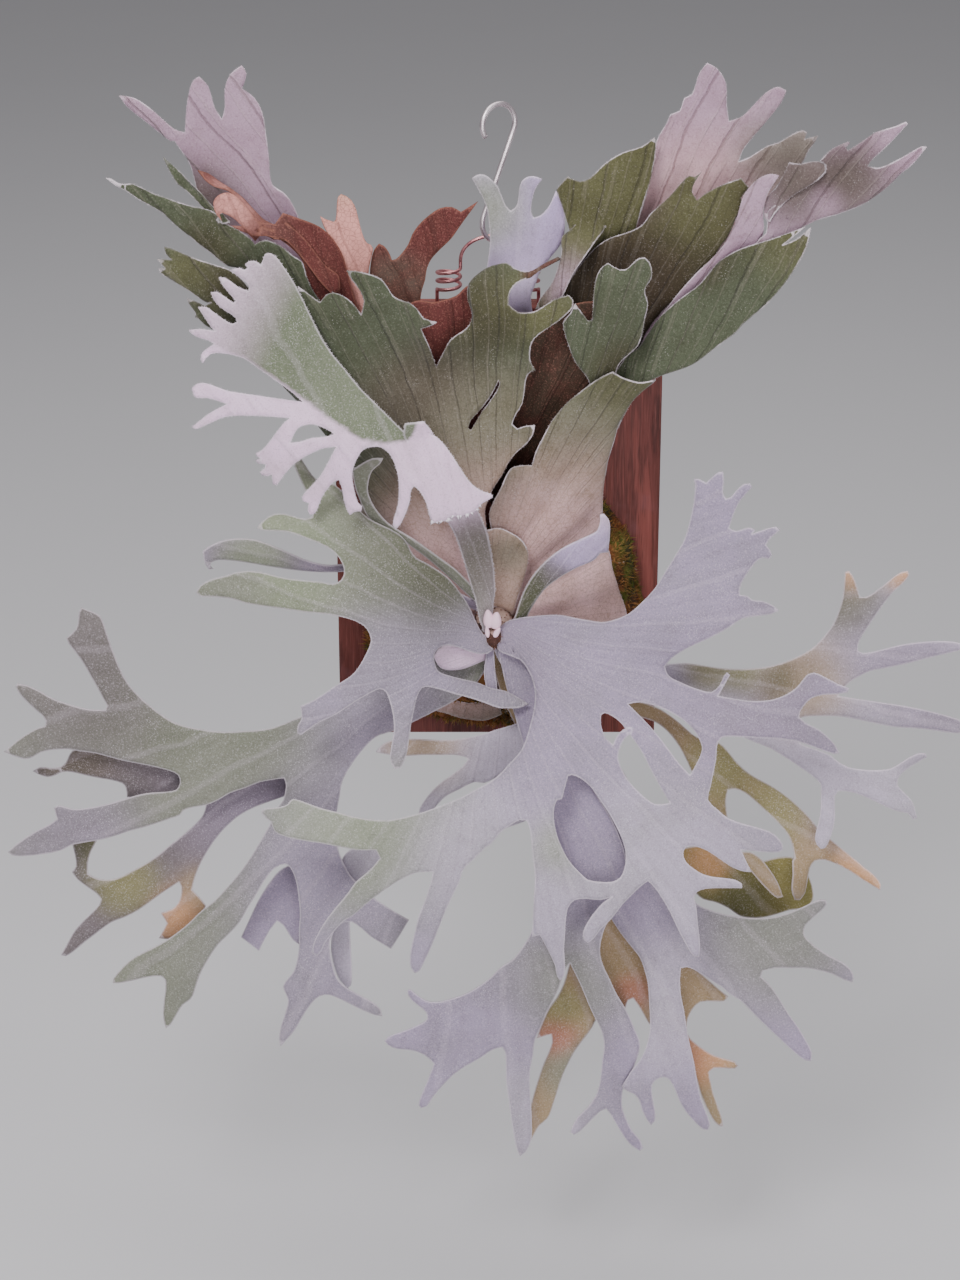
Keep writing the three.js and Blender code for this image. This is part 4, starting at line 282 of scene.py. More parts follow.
def calm(bm, verts):
    """Move points half way to the middle of their neighbours."""
    bmesh.ops.smooth_vert(bm, verts=verts, factor=0.5, use_axis_x=True, use_axis_y=True, use_axis_z=True)


def finished(bm, name, node, slot_name, material, smooth=True):
    """The finished piece that takes the place of a solid."""
    mesh = bpy.data.meshes.new(name)
    bm.to_mesh(mesh)
    bm.free()
    mesh.polygons.foreach_set("use_smooth", [smooth] * len(mesh.polygons))
    piece = bpy.data.objects.new(name, mesh)
    bpy.context.scene.collection.objects.link(piece)
    mesh.materials.append(material)
    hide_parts(node)
    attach(piece, "root")
    return piece


# --------------------------------
# Leaf sheets
# --------------------------------

SHEET_STEP = 5.0 * MM
SHEET_SPLITS = 4
SHEET_CALMINGS = 5
FOLD_LIMIT = math.radians(48)
NOTCH_LIMIT = math.radians(55)
SPLIT_LIMIT = math.radians(75)
LEAST_FACING = 0.5
LEAST_SHEET_AREA = 1e-4
MOST_SHIFT = 0.16


def keep_front_sheet(bm):
    """Leave only the sheets of a blade that face the viewer."""
    bm.normal_update()
    left = set(bm.faces)
    behind = []
    while left:
        patch, queue = [], [left.pop()]
        while queue:
            face = queue.pop()
            patch.append(face)
            for edge in face.edges:
                if len(edge.link_faces) == 2 and edge.calc_face_angle(math.pi) < FOLD_LIMIT:
                    for other in edge.link_faces:
                        if other in left:
                            left.discard(other)
                            queue.append(other)
        area = sum(f.calc_area() for f in patch)
        facing = sum(f.calc_area() * f.normal.dot((EYE - f.calc_center_median()).normalized())
                     for f in patch)
        if facing < LEAST_FACING * area or area < LEAST_SHEET_AREA:
            behind += patch
    bmesh.ops.delete(bm, geom=behind, context="FACES")


# Where the root ball's dome comes through the right shield: place and reach (m)
DOME_TOUCHES = ((Vector((0.085, -0.065, -0.085)), 0.016), (Vector((0.060, -0.069, -0.118)), 0.030))


def close_dome_gaps(bm):
    """Let the right shield run on unbroken over the places where the dome touches it."""
    for spot, reach in DOME_TOUCHES:
        rim = [e for e in bm.edges if e.is_boundary
               and ((e.verts[0].co + e.verts[1].co) / 2 - spot).length < reach]
        for face in bmesh.ops.holes_fill(bm, edges=rim, sides=0)["faces"]:
            face.normal_update()
            beside = [f for e in face.edges for f in e.link_faces if f is not face]
            if sum(face.normal.dot(f.normal) for f in beside) < 0:
                face.normal_flip()
    bmesh.ops.triangulate(bm, faces=[f for f in bm.faces if len(f.verts) > 3])


def rim_neighbours(vert):
    """The points before and after a point on the rim."""
    return [e.other_vert(vert) for e in vert.link_edges if e.is_boundary]


def held_to(shift, edge):
    """A shift that stays small beside its edge."""
    most = edge.calc_length() * MOST_SHIFT
    return shift * (most / shift.length) if shift.length > most else shift


def rounded_middle(edge):
    """Where a margin edge's middle lies on a smooth curve through the margin's points."""
    a, b = edge.verts
    ends = []
    for here, there in ((a, b), (b, a)):
        onward = [v for v in rim_neighbours(here) if v is not there]
        step = there.co - here.co
        if len(onward) == 1 and (here.co - onward[0].co).angle(step, math.pi) < NOTCH_LIMIT:
            ends.append(onward[0].co)
        else:
            ends.append(here.co - step)
    before, after = ends
    d0, d1, d2 = (math.sqrt(max((q - p).length, 1e-6))
                  for p, q in ((before, a.co), (a.co, b.co), (b.co, after)))
    slope_a = (a.co - before) / d0 - (b.co - before) / (d0 + d1) + (b.co - a.co) / d1
    slope_b = (b.co - a.co) / d1 - (after - a.co) / (d1 + d2) + (after - b.co) / d2
    return (a.co + b.co) / 2 + held_to((slope_a - slope_b) * d1 / 8, edge)


def curved_middle(edge):
    """Where an inner edge's middle lies on a surface that keeps its two ends' slopes."""
    a, b = edge.verts
    step = b.co - a.co
    shift = (b.normal * step.dot(b.normal) - a.normal * step.dot(a.normal)) / 8
    return (a.co + b.co) / 2 + held_to(shift, edge)


def refine_sheet(bm):
    """Split a sheet's long edges along smooth curves, then even out its inner points."""
    for _ in range(SHEET_SPLITS):
        bm.normal_update()
        long_edges = [e for e in bm.edges if e.calc_length() > SHEET_STEP]
        if not long_edges:
            break
        middles = {}
        for edge in long_edges:
            spot = (edge.verts[0].co + edge.verts[1].co) / 2
            middles[tuple(round(c, 7) for c in spot)] = (
                rounded_middle(edge) if edge.is_boundary else curved_middle(edge))
        made = bmesh.ops.subdivide_edges(bm, edges=long_edges, cuts=1)["geom_inner"]
        for vert in made:
            if isinstance(vert, bmesh.types.BMVert):
                spot = middles.get(tuple(round(c, 7) for c in vert.co))
                if spot is not None:
                    vert.co = spot
        bmesh.ops.triangulate(bm, faces=[f for f in bm.faces if len(f.verts) > 3])
    bmesh.ops.beautify_fill(bm, faces=bm.faces[:], edges=[e for e in bm.edges if not e.is_boundary])
    inner = [v for v in bm.verts if not v.is_boundary]
    for _ in range(SHEET_CALMINGS):
        calm(bm, inner)
    bm.normal_update()


# --------------------------------
# Colours of the fern, as they look in soft light
# --------------------------------

LILAC = shade(152, 140, 164)
DEEP_LILAC = shade(138, 126, 145)
PALE_LILAC = shade(176, 167, 184)
LAVENDER = shade(190, 170, 214)
MINT = shade(140, 149, 122)
SAGE = shade(120, 123, 108)
DUSK = shade(108, 99, 102)
GREEN_FACE = shade(108, 116, 94)
STALK = shade(76, 78, 56)
PINK_WHITE = shade(228, 198, 226)
YELLOW_GREEN = shade(132, 128, 84)
STRAW = shade(158, 136, 104)
ORANGE = shade(206, 154, 108)
ROSE = shade(172, 108, 92)
OLIVE = shade(62, 58, 28)
LEAF_OLIVE = shade(88, 88, 54)
LEAF_SAGE = shade(74, 82, 60)
PALE_SAGE = shade(118, 114, 96)
TAUPE = shade(94, 84, 72)
BEIGE = shade(182, 154, 142)
BLUSH = shade(226, 184, 186)
# Dark brown of the older shield deep between the shields, darkened further as painted shade of that hollow
BROWN_AND_PAINTED_SHADE = shade(60, 44, 30)
SHIELD_LILAC = shade(176, 148, 168)
RUST = shade(94, 41, 38)
DARK_RUST = shade(78, 42, 36)
# Pale pink of the lower shields, made lighter still: painted light where the fronds in front shade them
PETAL_PAINTED_LIGHT = shade(252, 208, 210)
# Painted light: a pale lavender that lifts the back top frond where the front shield's curl shades it
PAINTED_LIGHT_LAVENDER = shade(232, 212, 250)
MOSSY = shade(134, 126, 74)
WHITE_FRINGE = shade(252, 232, 250)
SALMON = shade(226, 160, 150)
TAN = shade(200, 160, 136)

# For each frond: its ground colour, then washes as (x mm, z mm, reach mm, colour); a few paint light or
# shade
WASHES = {
    "antler_front": (LILAC, [
        (-105, -155, 60, MINT), (-25, -175, 38, PALE_LILAC), (55, -90, 50, LILAC),
        (100, -190, 50, PALE_LILAC), (20, -70, 26, DEEP_LILAC), (40, -250, 60, PALE_LILAC),
        (200, -70, 45, DEEP_LILAC), (150, -210, 45, PALE_LILAC), (45, -175, 18, MINT)]),
    "antler_left": (SAGE, [
        (-81, -58, 38, LILAC), (-20, -72, 40, LILAC), (-199, 8, 24, SAGE), (-120, -85, 32, LILAC),
        (-60, 30, 40, STALK), (-40, 0, 25, STALK), (-150, 30, 34, MINT), (-95, 25, 30, SAGE)]),
    "antler_lower_left": (SAGE, [
        (-307, -70, 60, DUSK), (-145, -250, 60, LILAC), (-95, -130, 50, LILAC), (-110, -200, 50, LILAC),
        (-330, -205, 40, DEEP_LILAC), (-230, -260, 50, SAGE), (-194, -122, 60, SAGE),
        (-152, -348, 50, LILAC)]),
    "antler_behind_left": (DUSK, [
        (-293, -254, 20, YELLOW_GREEN), (-312, -220, 16, LEAF_OLIVE), (-330, -150, 24, TAUPE),
        (-250, -283, 17, ORANGE), (-230, -262, 16, STRAW), (-180, -180, 50, DEEP_LILAC)]),
    "antler_crest": (PINK_WHITE, [
        (-16, 32, 18, STALK), (-18, 18, 20, STALK), (-21, 4, 22, STALK), (-23, -10, 20, STALK),
        (-20, -30, 22, SAGE)]),
    "antler_right_back": (PALE_LILAC, [
        (160, -74, 14, YELLOW_GREEN), (185, -74, 13, YELLOW_GREEN), (214, -78, 12, LEAF_OLIVE),
        (262, -20, 22, LEAF_OLIVE), (230, -80, 26, STRAW), (267, 2, 12, ORANGE), (306, 4, 12, ORANGE),
        (300, -58, 34, DEEP_LILAC), (339, -104, 30, DEEP_LILAC)]),
    "antler_right_lower": (STRAW, [
        (288, -240, 22, ORANGE), (171, -154, 20, YELLOW_GREEN), (270, -165, 30, DEEP_LILAC),
        (300, -190, 26, DEEP_LILAC), (215, -185, 20, YELLOW_GREEN), (320, -150, 14, ORANGE)]),
    "antler_lower": (LILAC, [(46, -313, 36, SAGE), (0, -340, 40, LILAC), (20, -430, 40, PALE_LILAC)]),
    "antler_lower_right": (LILAC, [(215, -272, 44, SAGE), (120, -340, 40, PALE_LILAC)]),
    "antler_bottom_back": (STRAW, [
        (46, -372, 13, ROSE), (104, -335, 12, ROSE), (150, -392, 16, ROSE), (49, -349, 14, YELLOW_GREEN),
        (96, -300, 24, STRAW), (160, -394, 16, ORANGE), (60, -400, 20, SAGE), (90, -345, 10, LEAF_OLIVE)]),
    "antler_spoon": (DEEP_LILAC, [(-185, 10, 20, MINT)]),
    "antler_young": (STALK, [
        (79, 48, 12, PINK_WHITE), (72, 30, 15, LAVENDER), (58, 14, 14, LAVENDER), (30, -30, 14, STALK),
        (46, -2, 10, DUSK)]),
    # The pale lavender wash low on this frond is painted light over the shade of the front shield's curl
    "antler_back_top": (LAVENDER, [(-14, 262, 26, MINT), (20, 182, 30, PAINTED_LIGHT_LAVENDER)]),
    "antler_curled": (SAGE, []),
    "antler_cut_behind": (LILAC, []),
    "antler_inner_left": (PALE_LILAC, [(-60, -130, 22, STRAW)]),
    "antler_olive": (MOSSY, [
        (163, -243, 13, ORANGE), (150, -262, 14, YELLOW_GREEN), (190, -270, 16, LEAF_OLIVE)]),
    "antler_small_pale": (PINK_WHITE, []),
    # The petiole takes the plain lilac, darker than its own pink lilac: painted shade of the narrow gap it
    # sits in
    "antler_petiole": (LILAC, []),
    # The pale pink wash low on this shield is partly painted light over the shade from the fronds in front
    "shield_front": (LEAF_SAGE, [
        (-12, 196, 24, OLIVE), (22, 200, 18, LEAF_OLIVE), (-48, -60, 60, PETAL_PAINTED_LIGHT), (-25, 0, 40, BLUSH),
        (36, 227, 9, RUST), (24, 222, 5, RUST), (8, 112, 30, PALE_SAGE), (14, 66, 24, BEIGE),
        (-95, 190, 34, LEAF_SAGE), (-30, 50, 34, BEIGE), (-60, 130, 36, TAUPE), (40, 195, 16, LEAF_OLIVE),
        (-22, 97, 30, PALE_SAGE)]),
    # The pale pink wash low on this shield is partly painted light over the shade from the fronds in front
    "shield_right": (LEAF_SAGE, [
        (62, -50, 50, PETAL_PAINTED_LIGHT), (48, 20, 38, BLUSH), (60, 66, 28, BEIGE), (66, 100, 30, PALE_SAGE),
        (90, 140, 24, LEAF_OLIVE)]),
    "shield_upper_right": (LEAF_SAGE, [
        (215, 270, 30, LEAF_OLIVE), (150, 235, 14, OLIVE), (140, 170, 30, LEAF_SAGE)]),
    "shield_mitten": (LEAF_SAGE, [(92, 150, 18, OLIVE)]),
    # The dark brown washes on the scalloped and olive shields are partly painted shade of the hollow between
    # the shields
    "shield_scalloped": (LEAF_OLIVE, [
        (55, 150, 36, BROWN_AND_PAINTED_SHADE), (60, 210, 18, SHIELD_LILAC), (72, 250, 24, LEAF_OLIVE)]),
    "shield_olive": (OLIVE, [(110, 275, 12, TAUPE), (90, 200, 40, BROWN_AND_PAINTED_SHADE), (140, 280, 26, LEAF_OLIVE)]),
    "shield_lavender": (SHIELD_LILAC, []),
    "shield_fan": (SHIELD_LILAC, [
        (215, 296, 24, OLIVE), (252, 298, 22, OLIVE), (236, 282, 10, SHIELD_LILAC)]),
    "shield_pale_right": (SHIELD_LILAC, [
        (200, 300, 22, PALE_SAGE), (222, 312, 18, PALE_SAGE), (150, 260, 40, BLUSH)]),
    "shield_pale_left": (SHIELD_LILAC, [(-225, 262, 26, TAUPE)]),
    "shield_left_low": (LEAF_SAGE, [(-262, 262, 30, LEAF_SAGE), (-222, 240, 20, OLIVE)]),
    "shield_left_long": (LEAF_SAGE, [(-230, 232, 14, LEAF_OLIVE), (-200, 220, 20, OLIVE)]),
    "shield_young": (BEIGE, [(0, -30, 26, BEIGE), (8, 5, 14, PALE_SAGE)]),
    "dead_left": (RUST, [(-192, 280, 22, SALMON), (-214, 300, 12, RUST), (-170, 250, 14, DARK_RUST)]),
    "dead_salmon": (SALMON, [(-112, 292, 14, TAN)]),
    "dead_centre": (RUST, [(-40, 255, 24, RUST), (-78, 200, 22, TAUPE)]),
    "dead_right": (RUST, []),
    # The older leaf deep in the hollow: its own dark brown, darkened further as painted shade
    "dead_inner": (BROWN_AND_PAINTED_SHADE, []),
}


# The crest's fold, as (x mm, z mm), and where its green fades out towards the top
CREST_FOLD = ((-235, 196), (-205, 178), (-187, 172), (-169, 161), (-144, 145),
              (-124, 133), (-98, 119), (-83, 117), (-66, 119), (-60, 128))
FOLD_BLUR = 2.5
CREST_TOP_RISE, CREST_TOP_LEAN = 0.42, -0.9
CREST_TOP_START, CREST_TOP_REACH, CREST_TOP_FADE = 222, 50, 0.72


def on_crest_face(place):
    """1 on the crest's green face above its fold, 0 on the white underside below it."""
    x, z = place.x / MM, place.z / MM
    for (x0, z0), (x1, z1) in zip(CREST_FOLD, CREST_FOLD[1:]):
        if x0 <= x < x1:
            above = z - z0 - (z1 - z0) * (x - x0) / (x1 - x0)
            top = (CREST_TOP_RISE * z + CREST_TOP_LEAN * x - CREST_TOP_START) / CREST_TOP_REACH
            return min(max(above / FOLD_BLUR, 0), 1) * (1 - CREST_TOP_FADE * min(max(top, 0), 1))
    return 0.0


BUD = Vector((-0.003, -0.105, -0.052))
FAN_SETBACK = 0.012
GROUND_WEIGHT, WASH_WEIGHT, WASH_FALL = 0.4, 2.0, 1.1
# The dry stalk at the front shield's top has no pale rim. It is right of and above these (mm),
# and counts as this far from the rim (mm).
STALK_SIDE, STALK_FOOT, STALK_RIM = 23, 219, 6.0


def paint_sheet(bm, node):
    """Store on every point its colour, its distance from the rim and its place in the fan of veins."""
    ground, washes = WASHES[node]
    colour = bm.verts.layers.float_color.new("wash")
    rim = bm.verts.layers.float.new("rim")
    fan = bm.verts.layers.float.new("fan")
    reach = bm.verts.layers.float.new("reach")
    edge_points = [v.co for v in bm.verts if v.is_boundary]
    tree = kdtree.KDTree(len(edge_points))
    for i, point in enumerate(edge_points):
        tree.insert(point, i)
    tree.balance()
    root = min(edge_points, key=lambda p: (p - BUD).length)
    middle = sum((v.co for v in bm.verts), Vector()) / len(bm.verts)
    lean = math.atan2(middle.x - root.x, middle.z - root.z)
    back = (middle - root).normalized() * FAN_SETBACK
    for vert in bm.verts:
        weights = [(GROUND_WEIGHT, ground)]
        for x, z, wide, tint in washes:
            away = ((vert.co.x / MM - x) ** 2 + (vert.co.z / MM - z) ** 2) / wide ** 2
            weights.append((WASH_WEIGHT * math.exp(-away * WASH_FALL), tint))
        total = sum(w for w, _ in weights)
        tint = Vector(sum(w * c[k] for w, c in weights) / total for k in range(3))
        if node == "antler_crest":
            tint = tint.lerp(Vector(GREEN_FACE[:3]), on_crest_face(vert.co))
        vert[colour] = (*tint, 1.0)
        vert[rim] = tree.find(vert.co)[2] / MM
        if node == "shield_front" and vert.co.x > STALK_SIDE * MM and vert.co.z > STALK_FOOT * MM:
            vert[rim] = STALK_RIM
        away = vert.co - root + back
        turn = math.atan2(away.x, away.z) - lean
        vert[fan] = (turn + math.pi) % (2 * math.pi) - math.pi
        vert[reach] = away.length / MM


# How many patches of noise there are to the metre
SWELL_GRAIN, DRIFT_GRAIN, RIM_GRAIN, LUMP_GRAIN = 22, 9, 60, 55
TONE_GRAIN, SPRIG_TONE_GRAIN, SCALE_TONE_GRAIN, BUD_GRAIN = 60, 130, 260, 300
# How high slow swells are (mm)
SHIELD_SWELL, ANTLER_SWELL = 1.3, 0.7
# Ribs as (height mm, waves in the fan), full from this far off the base and off the rim (mm)
RIBS = ((1.3, 15), (0.5, 33))
RIB_START, RIB_RIM = 60, 10
# The waved or bent rim, as (height mm, reach mm)
WAVED_RIM, BENT_RIM = (2.2, 12), (0.5, 9)


def ruffle_sheet(bm, node):
    """Ribs that run out from the base, slow swells, and a waved rim on the shields."""
    rim, fan, reach = (bm.verts.layers.float[n] for n in ("rim", "fan", "reach"))
    shield = not node.startswith("antler")
    seed = Vector((len(node) * 3.1, 0, 0))
    for vert in bm.verts:
        swell = noise.noise(vert.co * SWELL_GRAIN + seed) * (SHIELD_SWELL if shield else ANTLER_SWELL)
        rim_height, rim_reach = WAVED_RIM if shield else BENT_RIM
        at_rim = rim_height * (1 - min(vert[rim] / rim_reach, 1)) ** 2
        if shield:
            out = min(vert[reach] / RIB_START, 1) * min(vert[rim] / RIB_RIM, 1)
            drift = noise.noise(vert.co * DRIFT_GRAIN + seed) * 2
            swell += sum(height * math.sin(vert[fan] * waves + drift) for height, waves in RIBS) * out
            at_rim *= noise.noise(vert.co * RIM_GRAIN + seed)
        swell += at_rim
        vert.co -= vert.normal * swell * MM


# Hairs along a rim: one in so many mm, how long and how thick at the foot (mm)
HAIRS = {"antler_crest": (0.9, 1.7, 0.14), "antler": (1.8, 0.9, 0.11), "shield": (2.0, 1.3, 0.11)}
HAIR_LENGTHS = (0.5, 1.2)
HAIR_SPREAD, HAIR_LEAN, HAIR_INSET = 0.7, 0.6, 0.4
# The crest's teeth in the same way, and where they are (mm)
TEETH = (3.0, 6.0, 1.3)
TEETH_X, TEETH_Z, TEETH_DOWN = (-55, -3), (35, 72), -0.4


def holds_teeth(spot, outward):
    """Whether a place is on the lower edge of the crest's right lobe."""
    return (TEETH_X[0] * MM < spot.x < TEETH_X[1] * MM and TEETH_Z[0] * MM < spot.z < TEETH_Z[1] * MM
            and outward.z < TEETH_DOWN)


def hairs_along(bm, node, space, length, width, where):
    """The shapes of the hairs along a sheet's rim, one after another."""
    chance = random.Random(node)
    for edge in [e for e in bm.edges if e.is_boundary]:
        a, b = edge.verts
        face = edge.link_faces[0]
        along = b.co - a.co
        outward = along.cross(face.normal).normalized()
        if outward.dot(face.calc_center_median() - a.co) > 0:
            outward.negate()
        if where and not where(a.co, outward):
            continue
        places = along.length / (space * MM)
        for _ in range(int(places + chance.random())):
            spot = a.co.lerp(b.co, chance.random()) - face.normal * HAIR_INSET * MM
            tip = (outward + face.normal * chance.uniform(-HAIR_SPREAD, HAIR_SPREAD)
                   + along.normalized() * chance.uniform(-HAIR_LEAN, HAIR_LEAN)).normalized()
            long = length * chance.uniform(*HAIR_LENGTHS) * MM
            yield pointed_shape(spot, tip, long, width * MM, HAIR_SHAPE)


def rim_hairs(bm, node, space, length, width, where=None):
    """Fine pale hairs along the rim of a sheet, where the test holds, as a mesh of their own."""
    hairs = gather(hairs_along(bm, node, space, length, width, where), "hair_batch")
    rim = hairs.verts.layers.float.new("rim")
    colour = hairs.verts.layers.float_color.new("wash")
    hair = hairs.verts.layers.float.new("hair")
    for vert in hairs.verts:
        vert[rim], vert[hair], vert[colour] = 0.0, 1.0, WHITE_FRINGE
    return hairs


def felt_finish():
    """Antler fronds: grey felt of star hairs over green, a little paler at the rim."""
    felt = Finish("antler_felt", Roughness=0.88, Sheen_Weight=0.15, Sheen_Roughness=0.5)
    ground = felt.painted("wash", "Color")
    rim, fan, hair = felt.painted("rim"), felt.painted("fan"), felt.painted("hair")
    clouds = felt.grain(17, 4)
    patches = felt.grain(90, 5, 0.7, warp=0.6)
    stars = felt.grain(820, 3, 0.75)
    dust = felt.grain(38, 4).between(0.46, 0.66)
    specks = felt.cells(640).between(0.26, 0.12) * dust
    drift = felt.grain(9) * 5
    nerves = (fan * 42 + drift).sine().between(0.86, 1.0)
    channels = (fan * 90 + drift * 2.1).sine()
    colour = felt.mix(clouds.between(0.42, 0.66) * 0.5, ground, shade(222, 228, 214), "MULTIPLY")
    colour = felt.mix(patches.between(0.52, 0.74) * 0.4, colour, shade(208, 206, 204), "MULTIPLY")
    colour = felt.mix(channels.between(0.5, 1.0) * 0.14, colour, shade(206, 204, 200), "MULTIPLY")
    colour = felt.mix(nerves * 0.08, colour, shade(226, 212, 226))
    colour = felt.mix(stars.between(0.48, 0.30) * 0.45, colour, shade(170, 168, 164), "MULTIPLY")
    colour = felt.mix(stars.between(0.53, 0.68) * 0.20, colour, shade(246, 236, 248))
    colour = felt.mix(specks * 0.36, colour, shade(250, 246, 252))
    colour = felt.mix(rim.between(1.5, 0.1) * 0.40, colour, shade(246, 234, 246))
    colour = felt.mix(hair, colour, shade(244, 236, 246))
    bumps = felt.height(stars + specks * 0.3, 0.45, 0.0008)
    bumps = felt.height(patches * 0.5 + nerves * 0.3 + channels * -0.12 + clouds * 0.8, 0.45, 0.0022, bumps)
    felt.set(Base_Color=colour, Normal=bumps)
    return felt.material


def shield_finish(name, net_depth, net_tint):
    """Shield fronds: thin felt over fan veins and a net of finer ones, with a white hairy rim."""
    skin = Finish(name, Roughness=0.82, Sheen_Weight=0.12, Sheen_Roughness=0.5)
    ground = skin.painted("wash", "Color")
    rim, fan, reach = skin.painted("rim"), skin.painted("fan"), skin.painted("reach")
    hair = skin.painted("hair")
    drift = skin.grain(7, 2) * 4
    wander = skin.grain(60, 3) * 0.5
    streaks = skin.grain(30, 3).between(0.42, 0.60)
    threads = (fan * 84 + drift + wander).sine().between(0.80, 1.0) * streaks
    cross = (fan * 128 + drift * 2.4 + wander).sine().between(0.93, 1.0) * reach.between(40, 90)
    dark_lines = (fan * 74 + drift * 1.6 + wander * 2).sine().between(0.965, 1.0) * reach.between(90, 150)
    net = skin.cells(260, skin.place(), "DISTANCE_TO_EDGE").between(0.08, 0.0)
    clouds = skin.grain(24, 5, 0.65)
    blotches = skin.grain(75, 4, 0.7, warp=0.5)
    stars = skin.grain(760, 3, 0.75)
    dust = skin.grain(60, 4).between(0.50, 0.68)
    specks = skin.cells(600).between(0.24, 0.12) * dust
    # The darker clouds are partly the skin's own patchy tone and partly painted shade for the folds, laid at
    # random
    colour = skin.mix(clouds.between(0.40, 0.66) * 0.45, ground, net_tint, "MULTIPLY")
    colour = skin.mix(blotches.between(0.50, 0.72) * 0.35, colour, shade(206, 204, 190), "MULTIPLY")
    colour = skin.mix(net * net_depth, colour, net_tint, "MULTIPLY")
    colour = skin.mix(dark_lines * 0.40, colour, shade(110, 92, 66), "MULTIPLY")
    colour = skin.mix(cross * 0.06, colour, shade(214, 202, 186))
    colour = skin.mix(threads * 0.05, colour, shade(216, 204, 190))
    colour = skin.mix(stars.between(0.48, 0.30) * 0.45, colour, shade(160, 152, 138), "MULTIPLY")
    colour = skin.mix(stars.between(0.55, 0.70) * 0.14, colour, shade(226, 216, 210))
    colour = skin.mix(specks * 0.28, colour, shade(246, 240, 242))
    fringe = skin.grain(420, 3)
    patchy = skin.grain(28, 3).between(0.42, 0.60)
    white_rim = (rim - fringe * 1.5).between(0.2, -0.8) * (patchy * 0.6 + 0.1)
    colour = skin.mix(white_rim, colour, shade(240, 228, 238))
    colour = skin.mix(hair, colour, shade(242, 232, 240))
    bumps = skin.height(stars + net * -0.3, 0.45, 0.0008)
    relief = threads * 0.6 + cross * 0.35 - dark_lines * 0.5 + clouds * 1.1 + blotches * 0.4
    bumps = skin.height(relief, 0.6, 0.0022, bumps)
    skin.set(Base_Color=colour, Normal=bumps)
    return skin.material


def dead_finish(name, wear):
    """Dead shield fronds: dry brown paper with dark veins and a thin torn rim."""
    dry = Finish(name, Roughness=0.8)
    ground = dry.painted("wash", "Color")
    rim, fan, reach = dry.painted("rim"), dry.painted("fan"), dry.painted("reach")
    drift = dry.grain(16) * 4
    veins = (fan * 44 + drift * 0.7).sine().between(0.9, 1.0)
    forks = (fan * 92 + drift * 1.5).sine().between(0.9, 1.0) * reach.between(40, 90)
    net = dry.cells(300, dry.place(), "DISTANCE_TO_EDGE").between(0.07, 0.0)
    clouds = dry.grain(38, 5, 0.65)
    fibres = dry.grain(900, 3)
    colour = dry.mix(clouds.between(0.42, 0.68) * wear, ground, shade(92, 46, 38))
    colour = dry.mix((veins + forks * 0.6) * 0.4, colour, shade(66, 30, 24))
    colour = dry.mix(net * 0.25, colour, shade(60, 30, 22))
    colour = dry.mix(fibres.between(0.52, 0.7) * 0.22, colour, shade(214, 150, 132))
    colour = dry.mix(rim.between(1.6, 0.2) * 0.35, colour, shade(170, 112, 92))
    bumps = dry.height(veins + forks * 0.5 + clouds * 0.8 + net * -0.3, 0.6, 0.0018)
    bumps = dry.height(fibres, 0.4, 0.0004, bumps)
    dry.set(Base_Color=colour, Normal=bumps)
    return dry.material


ANTLER_THICKNESS = 1.3 * MM
SHIELD_THICKNESS = 1.0 * MM


def add_leaf(node, material):
    """A frond made again from its solid's front sheet, with ribs, a soft rim and hairs."""
    bm = merged_solid(node)
    keep_front_sheet(bm)
    if node == "shield_right":
        close_dome_gaps(bm)
    refine_sheet(bm)
    paint_sheet(bm, node)
    ruffle_sheet(bm, node)
    bm.normal_update()
    bm.verts.layers.float.new("hair")
    hairs = teeth = None
    kind = node.split("_")[0]
    if kind in HAIRS:
        hairs = rim_hairs(bm, node, *HAIRS.get(node, HAIRS[kind]))
    if node == "antler_crest":
        teeth = rim_hairs(bm, node, *TEETH, holds_teeth)
    thickness = ANTLER_THICKNESS if kind == "antler" else SHIELD_THICKNESS
    folds = [e for e in bm.edges if len(e.link_faces) == 2 and e.calc_face_angle(0) > SPLIT_LIMIT]
    bmesh.ops.split_edges(bm, edges=folds)
    bmesh.ops.solidify(bm, geom=bm.faces[:], thickness=thickness)
    bmesh.ops.recalc_face_normals(bm, faces=bm.faces)
    for extra in (hairs, teeth):
        if extra:
            join_in(bm, extra, "leaf_hairs")
    return finished(bm, "leaf_" + node, node, slot_of(node), material)


# --------------------------------
# Board, wire and hook
# --------------------------------

BOARD_FRONT = -25 * MM
BOARD_EDGE = 1.6 * MM
SHORTEST_RIM = 20 * MM
FLAT_LIMIT, RIM_ANGLE = math.radians(2), 1.2


def cedar_finish():
    """Red-brown stained cedar, its grain upright."""
    wood = Finish("stained_cedar", Roughness=0.62)
    board_lines = wood.place((30, 30, 2.2))
    rings = wood.grain(1.6, 5, 0.6, board_lines, 0.35)
    fibres = wood.grain(14, 4, 0.7, wood.place((40, 40, 1.4)))
    stripes = (rings * 38).sine()
    pores = wood.cells(1, wood.place((700, 700, 34)))
    scuffs = wood.grain(26, 4)
    colour = wood.mix(rings.between(0.3, 0.72), shade(84, 36, 30), shade(140, 74, 66))
    colour = wood.mix(stripes.between(0.2, 1.0) * 0.5, colour, shade(62, 26, 22))
    colour = wood.mix(fibres.between(0.48, 0.7) * 0.45, colour, shade(160, 96, 88))
    colour = wood.mix(pores.between(0.25, 0.05) * 0.5, colour, shade(44, 20, 18))
    colour = wood.mix(scuffs.between(0.58, 0.72) * 0.3, colour, shade(132, 84, 88))
    bumps = wood.height(fibres * 0.7 + stripes * 0.12 + pores * 0.5, 0.5, 0.0012)
    wood.set(Base_Color=colour, Normal=bumps, Roughness=fibres * 0.35 + 0.5)
    return wood.material


